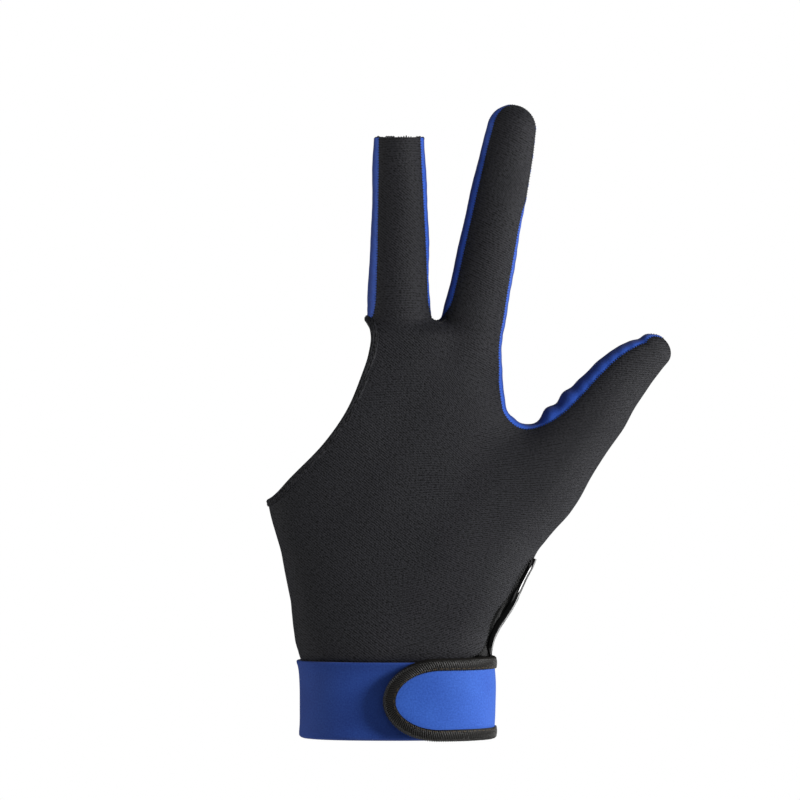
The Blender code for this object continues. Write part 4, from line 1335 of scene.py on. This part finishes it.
def build_band(name):
    """One neoprene band: from its round tab on the back, by the thumb and the palm, to the back again."""
    edge = BINDING_WALL + GAP / 2
    middle = TAB_HEIGHT / 2
    lengths, tab_turns = tab_stations(70, edge)
    half = np.maximum(tab_half_height(lengths, edge), 0.0003)
    band = np.linspace(0, 1, 260)[1:]
    narrow = ease(band * 6)
    turns = np.concatenate((tab_turns[1:], TAB_ROOT_TURN + (BAND_END_TURN - TAB_ROOT_TURN) * band))
    low = np.concatenate((middle - half[1:], edge * (1 - narrow))) + BAND_LIFT
    high = np.concatenate((middle + half[1:], (TAB_HEIGHT - edge) * (1 - narrow) + CUFF_HEIGHT * narrow))
    free = ease((turns - 1.05) / 0.15)
    rings, cloth = [], []
    way = distances(cuff_point(turns, LAP, 0.0))
    for depth, z in band_rings(turns, low, high):
        up = np.clip((2 * z - low - high) / (high - low), -1, 1)
        waist = 0.0006 * free * (1 - up**4) - 0.0008 * free * np.clip(up, 0, 1) ** 8 + 0.0012 * free * (1 - np.sqrt(1 - np.clip((-up - 0.84) / 0.16, 0, 0.999) ** 2))
        pillow = 0.0005 * (1 - free) * (1 - up**2) * ease(np.concatenate((lengths[1:], np.full(len(band), 1.0))) / 0.02)
        point = cuff_point(turns, lap_out(turns) + depth - waist + pillow, z)
        soft = waves(point, ((18, 0, 40, 0.2, 0.00010), (-44, 0, 66, 2.0, 0.00006)))
        rings.append(cuff_point(turns, lap_out(turns) + depth - waist + pillow + soft, z))
        cloth.append(np.column_stack((way, z)))
    rings = np.stack(rings, 1)
    cloth = np.stack(cloth, 1).reshape(-1, 2)
    points, faces = tube(rings)
    return add_piece(name, points, faces, neoprene(), cloth)


RIB_PITCH = 0.00072
RIB_HEIGHT = 0.00022
RIB_SLANT = 0.35


def binding_path(inset, count=1500):
    """The binding's edge at an inset from the tab's edge: length along the tab and height, at even steps."""
    lengths, _ = tab_stations(400)
    rises = tab_half_height(lengths)
    middle = TAB_HEIGHT / 2
    lower = middle - rises * (1 - BAND_LIFT / middle)
    path = np.concatenate((np.column_stack((lengths, lower))[::-1],
                           np.column_stack((lengths, middle + rises))[1:]))
    path = resample(path, count=count)
    along = np.gradient(path, axis=0)
    inward = np.column_stack((along[:, 1], -along[:, 0]))
    inward /= np.linalg.norm(inward, axis=1, keepdims=True)
    return path + inward * np.asarray(inset)[..., None]


def tab_point(place, out):
    """Points on the tab: length from its tip and height, out from its inner face."""
    lengths, turns = tab_stations(400)
    turn = np.interp(place[:, 0], lengths, turns)
    before = np.minimum(place[:, 0], 0.0) / 0.03 / (2 * math.pi)
    return cuff_point(turn + before, LAP + out, place[:, 1])


def build_binding(name):
    """The grosgrain folded over the tab's edge, with a rib at each pitch and a row of brown stitches."""
    skin = BINDING_WALL
    outer, inner = CUFF_WALL + 0.0001, -0.0001
    section = []
    for share in np.linspace(0, 1, 7):
        section.append((BINDING_WIDTH * (1 - share) + 0.0007 * share, outer + skin * (0.8 + 0.3 * math.sin(math.pi * share))))
    for angle in np.radians(np.linspace(80, -80, 7)):
        section.append((0.0007 - 0.0007 * math.cos(angle), (outer + inner) / 2 + (outer - inner + 2 * skin) / 2 * math.sin(angle)))
    section += [(BINDING_WIDTH * 0.5, inner - skin), (BINDING_WIDTH, inner - skin), (BINDING_WIDTH, inner),
                (0.0009, inner), (0.0009, outer), (BINDING_WIDTH, outer)]
    base = binding_path(0.0)
    way = distances(base)
    rings, cloth = [], []
    across = distances(np.array(section))
    for number, (inset, depth) in enumerate(section):
        # The tape's ribs lie a little askew.
        rib = RIB_HEIGHT * np.cos((way + RIB_SLANT * across[number]) * 2 * math.pi / RIB_PITCH)
        raised_rib = rib if number < 16 else 0 * rib
        if number < 7:
            place, out = binding_path(inset), depth + raised_rib
        else:
            place, out = binding_path(inset - raised_rib * (number < 14)), np.full(len(way), depth)
        rings.append(tab_point(place, out))
        cloth.append(np.column_stack((way, np.full(len(way), across[number]))))
    points, faces = tube(np.stack(rings, 1))
    cloth = np.stack(cloth, 1).reshape(-1, 2)
    binding = add_piece(name, points, faces, ribbon(), cloth, sharp=80)
    place = binding_path(BINDING_WIDTH - 0.0006)
    line = tab_point(place, np.full(len(place), outer + skin))
    outward = tab_point(place, np.full(len(place), outer + skin + 0.001)) - line
    outward /= np.linalg.norm(outward, axis=1, keepdims=True)
    points, faces = threads(stitches_along(line, outward, 0.0014, 0.0006, 0.00016, inset=0.0001), 0.00015)
    sewn = add_piece(name + "_stitches", points, faces, brown_thread())
    return binding, sewn


def tip_loop(count):
    """The open end of the middle finger: a closed line round its edge."""
    share = 1.0
    shift, width, back, palm = MIDDLE.slice(share)
    turn = np.arange(count) / count * 2 * math.pi
    x = MIDDLE.root[0] + shift + width * np.cos(turn)
    depth = np.where(np.sin(turn) < 0, back, palm)
    z = np.full(count, MIDDLE.root[1] + share * MIDDLE_LENGTH)
    return np.column_stack((x, depth * np.sin(turn), z))


def build_tip_edge(name):
    """The overlocked edge of the open fingertip."""
    count = 1400
    wraps = 58
    loop = tip_loop(count)
    turn = np.arange(count) / count * 2 * math.pi
    out = form_slope(loop)
    phase = turn * wraps
    wavy = 0.00018 * np.sin(turn * 9 + 0.6) + 0.0001 * np.sin(turn * 23)
    line = loop + out * (0.00035 * np.cos(phase))[:, None] - out * 0.0006
    line[:, 2] += wavy + 0.00045 * np.sin(phase) - 0.0003
    rings = []
    ahead = np.roll(line, -1, 0) - np.roll(line, 1, 0)
    ahead /= np.linalg.norm(ahead, axis=1, keepdims=True)
    side = np.cross(ahead, (0.0, 0.0, 1.0))
    side /= np.linalg.norm(side, axis=1, keepdims=True)
    up = np.cross(side, ahead)
    for angle in np.arange(THREAD_SIDES) / THREAD_SIDES * 2 * math.pi:
        rings.append(line + (side * math.cos(angle) + up * math.sin(angle)) * 0.00020)
    points, faces = ring_loop(np.stack(rings, 1))
    return add_piece(name, bent(points), faces, black_thread())


class GloveClothSettings(bpy.types.PropertyGroup):
    """Sizes of the knit's details."""

    rib_pitch: FloatProperty(name="Rib pitch", description="Distance between the knit's ribs", default=0.00078,
                             min=0.0004, max=0.004, unit="LENGTH", precision=5)
    pucker_depth: FloatProperty(name="Pucker depth", description="How far the strips gather at their seams",
                                default=0.00018, min=0.0, max=0.001, unit="LENGTH", precision=5)


class GloveStageSettings(bpy.types.PropertyGroup):
    """The stage round the glove."""

    distance: FloatProperty(name="Camera distance", description="From the camera to the glove", default=VIEW_DISTANCE,
                            min=0.5, max=5.0, unit="LENGTH")
    view_width: FloatProperty(name="View width", description="Width of the view at the glove", default=0.256,
                              min=0.1, max=1.0, unit="LENGTH")
    background: FloatVectorProperty(name="Background", description="Colour behind the glove", subtype="COLOR",
                                    default=(1.0, 1.0, 1.0), min=0.0, max=1.0)


def as_sheet(piece, node, with_pieces=()):
    """Hides a node of the model, in whose place a sheet stands."""
    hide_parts(node)


class PieceOperator:
    """What the operators share: they can be undone, and run in object mode."""

    bl_options = {"REGISTER", "UNDO"}

    @classmethod
    def poll(cls, context):
        return context.mode == "OBJECT"


class GLOVE_OT_panels(PieceOperator, bpy.types.Operator):
    """Build the two large knit panels, on the back of the hand and on the palm"""

    bl_idname = "glove.panels"
    bl_label = "Knit panels"

    def execute(self, context):
        as_sheet(build_panel("back_cloth", BACK), "back_panel")
        as_sheet(build_panel("palm_cloth", PALM_SIDE), "palm_panel")
        return {"FINISHED"}


class GLOVE_OT_side_strips(PieceOperator, bpy.types.Operator):
    """Build the blue strips at the fingers' sides and round the fork to the thumb"""

    bl_idname = "glove.side_strips"
    bl_label = "Side strips"

    def execute(self, context):
        as_sheet(build_strip("middle_outer_strip", "outer"), "middle_outer_fourchette")
        as_sheet(build_strip("middle_index_strip", "crotch"), "middle_index_fourchette")
        as_sheet(build_strip("index_thumb_strip", "web"), "index_thumb_gusset")
        return {"FINISHED"}


class GLOVE_OT_opening_hem(PieceOperator, bpy.types.Operator):
    """Build the turned hem round the cut-away side, with its two rows of stitches"""

    bl_idname = "glove.opening_hem"
    bl_label = "Opening hem"

    def execute(self, context):
        hem, _ = build_hem("cut_away_hem")
        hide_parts("opening_hem")
        return {"FINISHED"}


class GLOVE_OT_slit_facing(PieceOperator, bpy.types.Operator):
    """Build the glossy facing of the wrist's slit, and the overlocked edge over it"""

    bl_idname = "glove.slit_facing"
    bl_label = "Slit facing"

    def execute(self, context):
        facing, sewn = build_facing("wrist_facing")
        as_sheet(facing, "slit_facing", [sewn, build_facing_roll("facing_rolled_edge")])
        return {"FINISHED"}


class GLOVE_OT_wrist_band(PieceOperator, bpy.types.Operator):
    """Build the neoprene band with its round tab"""

    bl_idname = "glove.wrist_band"
    bl_label = "Wrist band"

    def execute(self, context):
        as_sheet(build_band("wrist_band"), "cuff_band")
        return {"FINISHED"}


class GLOVE_OT_tab_binding(PieceOperator, bpy.types.Operator):
    """Build the grosgrain binding round the tab, and its stitches"""

    bl_idname = "glove.tab_binding"
    bl_label = "Tab binding"

    def execute(self, context):
        binding, _ = build_binding("tab_edge")
        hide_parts("tab_binding")
        return {"FINISHED"}


class GLOVE_OT_hook_pad(PieceOperator, bpy.types.Operator):
    """Finish the pad of hooks under the tab"""

    bl_idname = "glove.hook_pad"
    bl_label = "Hook pad"

    def execute(self, context):
        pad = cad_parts["hook_patch"]
        pad.data.materials.clear()
        pad.data.materials.append(hook_pad())
        return {"FINISHED"}


class GLOVE_OT_seams(PieceOperator, bpy.types.Operator):
    """Build the fine threads over the seams and the overlocked edge of the open fingertip"""

    bl_idname = "glove.seams"
    bl_label = "Seam threads"

    def execute(self, context):
        build_stitching("seam_threads")
        build_tip_edge("fingertip_edge")
        return {"FINISHED"}


SENSOR = 36.0
FLOOR_LEVEL = -0.95
FLOOR_SIZE = 3.6


def add_softbox(name, place, size, power):
    """A soft light of this width and height that looks at the glove."""
    light = bpy.data.lights.new(name, "AREA")
    light.shape = "RECTANGLE"
    light.size, light.size_y = size
    light.energy = power
    lamp = bpy.data.objects.new(name, light)
    lamp.location = place
    lamp.rotation_euler = (Vector(VIEW_CENTRE) - Vector(place)).to_track_quat("-Z", "Y").to_euler()
    bpy.context.scene.collection.objects.link(lamp)
    return lamp


class GLOVE_OT_stage(PieceOperator, bpy.types.Operator):
    """Build the camera, the soft studio lights and the pale floor"""

    bl_idname = "glove.stage"
    bl_label = "Stage"

    def execute(self, context):
        settings = context.scene.glove_stage
        camera = bpy.data.objects.new("camera", bpy.data.cameras.new("camera"))
        camera.data.sensor_width = SENSOR
        camera.data.lens = SENSOR * settings.distance / settings.view_width
        camera.location = Vector(VIEW_CENTRE) + Vector((0.0, -settings.distance, 0.0))
        camera.rotation_euler = (math.radians(90), 0.0, 0.0)
        camera.data.clip_end = 50.0
        context.scene.collection.objects.link(camera)
        context.scene.camera = camera

        add_softbox("key_light", (1.40, -0.85, 0.50), (0.5, 0.5), 28.0)
        add_softbox("fill_light", (0.3, -1.7, 0.7), (0.9, 0.9), 2.5)
        add_softbox("left_rim", (-1.3, -0.1, 0.2), (1.0, 1.0), 7.0)
        add_softbox("right_rim", (1.15, 0.45, -0.25), (0.22, 1.4), 7.0)

        world = bpy.data.worlds.new("studio")
        world.use_nodes = True
        tree = world.node_tree
        tree.nodes.clear()
        seen = add_node(tree, "ShaderNodeBackground", {"Color": (*settings.background, 1.0), "Strength": 1.0})
        light = add_node(tree, "ShaderNodeBackground", {"Color": (0.95, 0.97, 1.0, 1.0), "Strength": 0.07})
        path = add_node(tree, "ShaderNodeLightPath")
        mixed = add_node(tree, "ShaderNodeMixShader", {"Fac": path.outputs["Is Camera Ray"],
                                                       1: light.outputs[0], 2: seen.outputs[0]})
        add_node(tree, "ShaderNodeOutputWorld", {"Surface": mixed.outputs[0]})
        context.scene.world = world
        context.scene.view_settings.view_transform = "Standard"

        half = FLOOR_SIZE / 2
        mesh = bpy.data.meshes.new("floor")
        mesh.from_pydata([(-half, -half, FLOOR_LEVEL), (half, -half, FLOOR_LEVEL), (half, half, FLOOR_LEVEL),
                          (-half, half, FLOOR_LEVEL)], [], [(0, 1, 2, 3)])
        material, _, _ = new_material("paper_backdrop", Base_Color=linear("#f4f4f4"), Roughness=0.9)
        mesh.materials.append(material)
        floor = bpy.data.objects.new("floor", mesh)
        context.scene.collection.objects.link(floor)
        return {"FINISHED"}


PIECE_OPERATORS = (GLOVE_OT_stage, GLOVE_OT_panels, GLOVE_OT_side_strips, GLOVE_OT_opening_hem,
                   GLOVE_OT_slit_facing, GLOVE_OT_wrist_band, GLOVE_OT_tab_binding, GLOVE_OT_hook_pad,
                   GLOVE_OT_seams)


class GLOVE_PT_sidebar(bpy.types.Panel):
    """The glove's sizes and its pieces, in the sidebar"""

    bl_idname = "GLOVE_PT_sidebar"
    bl_label = "Billiard glove"
    bl_space_type = "VIEW_3D"
    bl_region_type = "UI"
    bl_category = "Glove"

    def draw(self, context):
        layout = self.layout
        for settings in (context.scene.glove_cloth, context.scene.glove_stage):
            for key in settings.__annotations__:
                layout.prop(settings, key)
        for operator in PIECE_OPERATORS:
            layout.operator(operator.bl_idname)


CLASSES = (GloveClothSettings, GloveStageSettings, *PIECE_OPERATORS, GLOVE_PT_sidebar)


def register():
    for item in CLASSES:
        bpy.utils.register_class(item)
    bpy.types.Scene.glove_cloth = PointerProperty(type=GloveClothSettings)
    bpy.types.Scene.glove_stage = PointerProperty(type=GloveStageSettings)


def unregister():
    del bpy.types.Scene.glove_stage
    del bpy.types.Scene.glove_cloth
    for item in reversed(CLASSES):
        bpy.utils.unregister_class(item)


def main():
    register()
    for operator in PIECE_OPERATORS:
        group, name = operator.bl_idname.split(".")
        getattr(getattr(bpy.ops, group), name)()


if __name__ == "__main__":
    main()
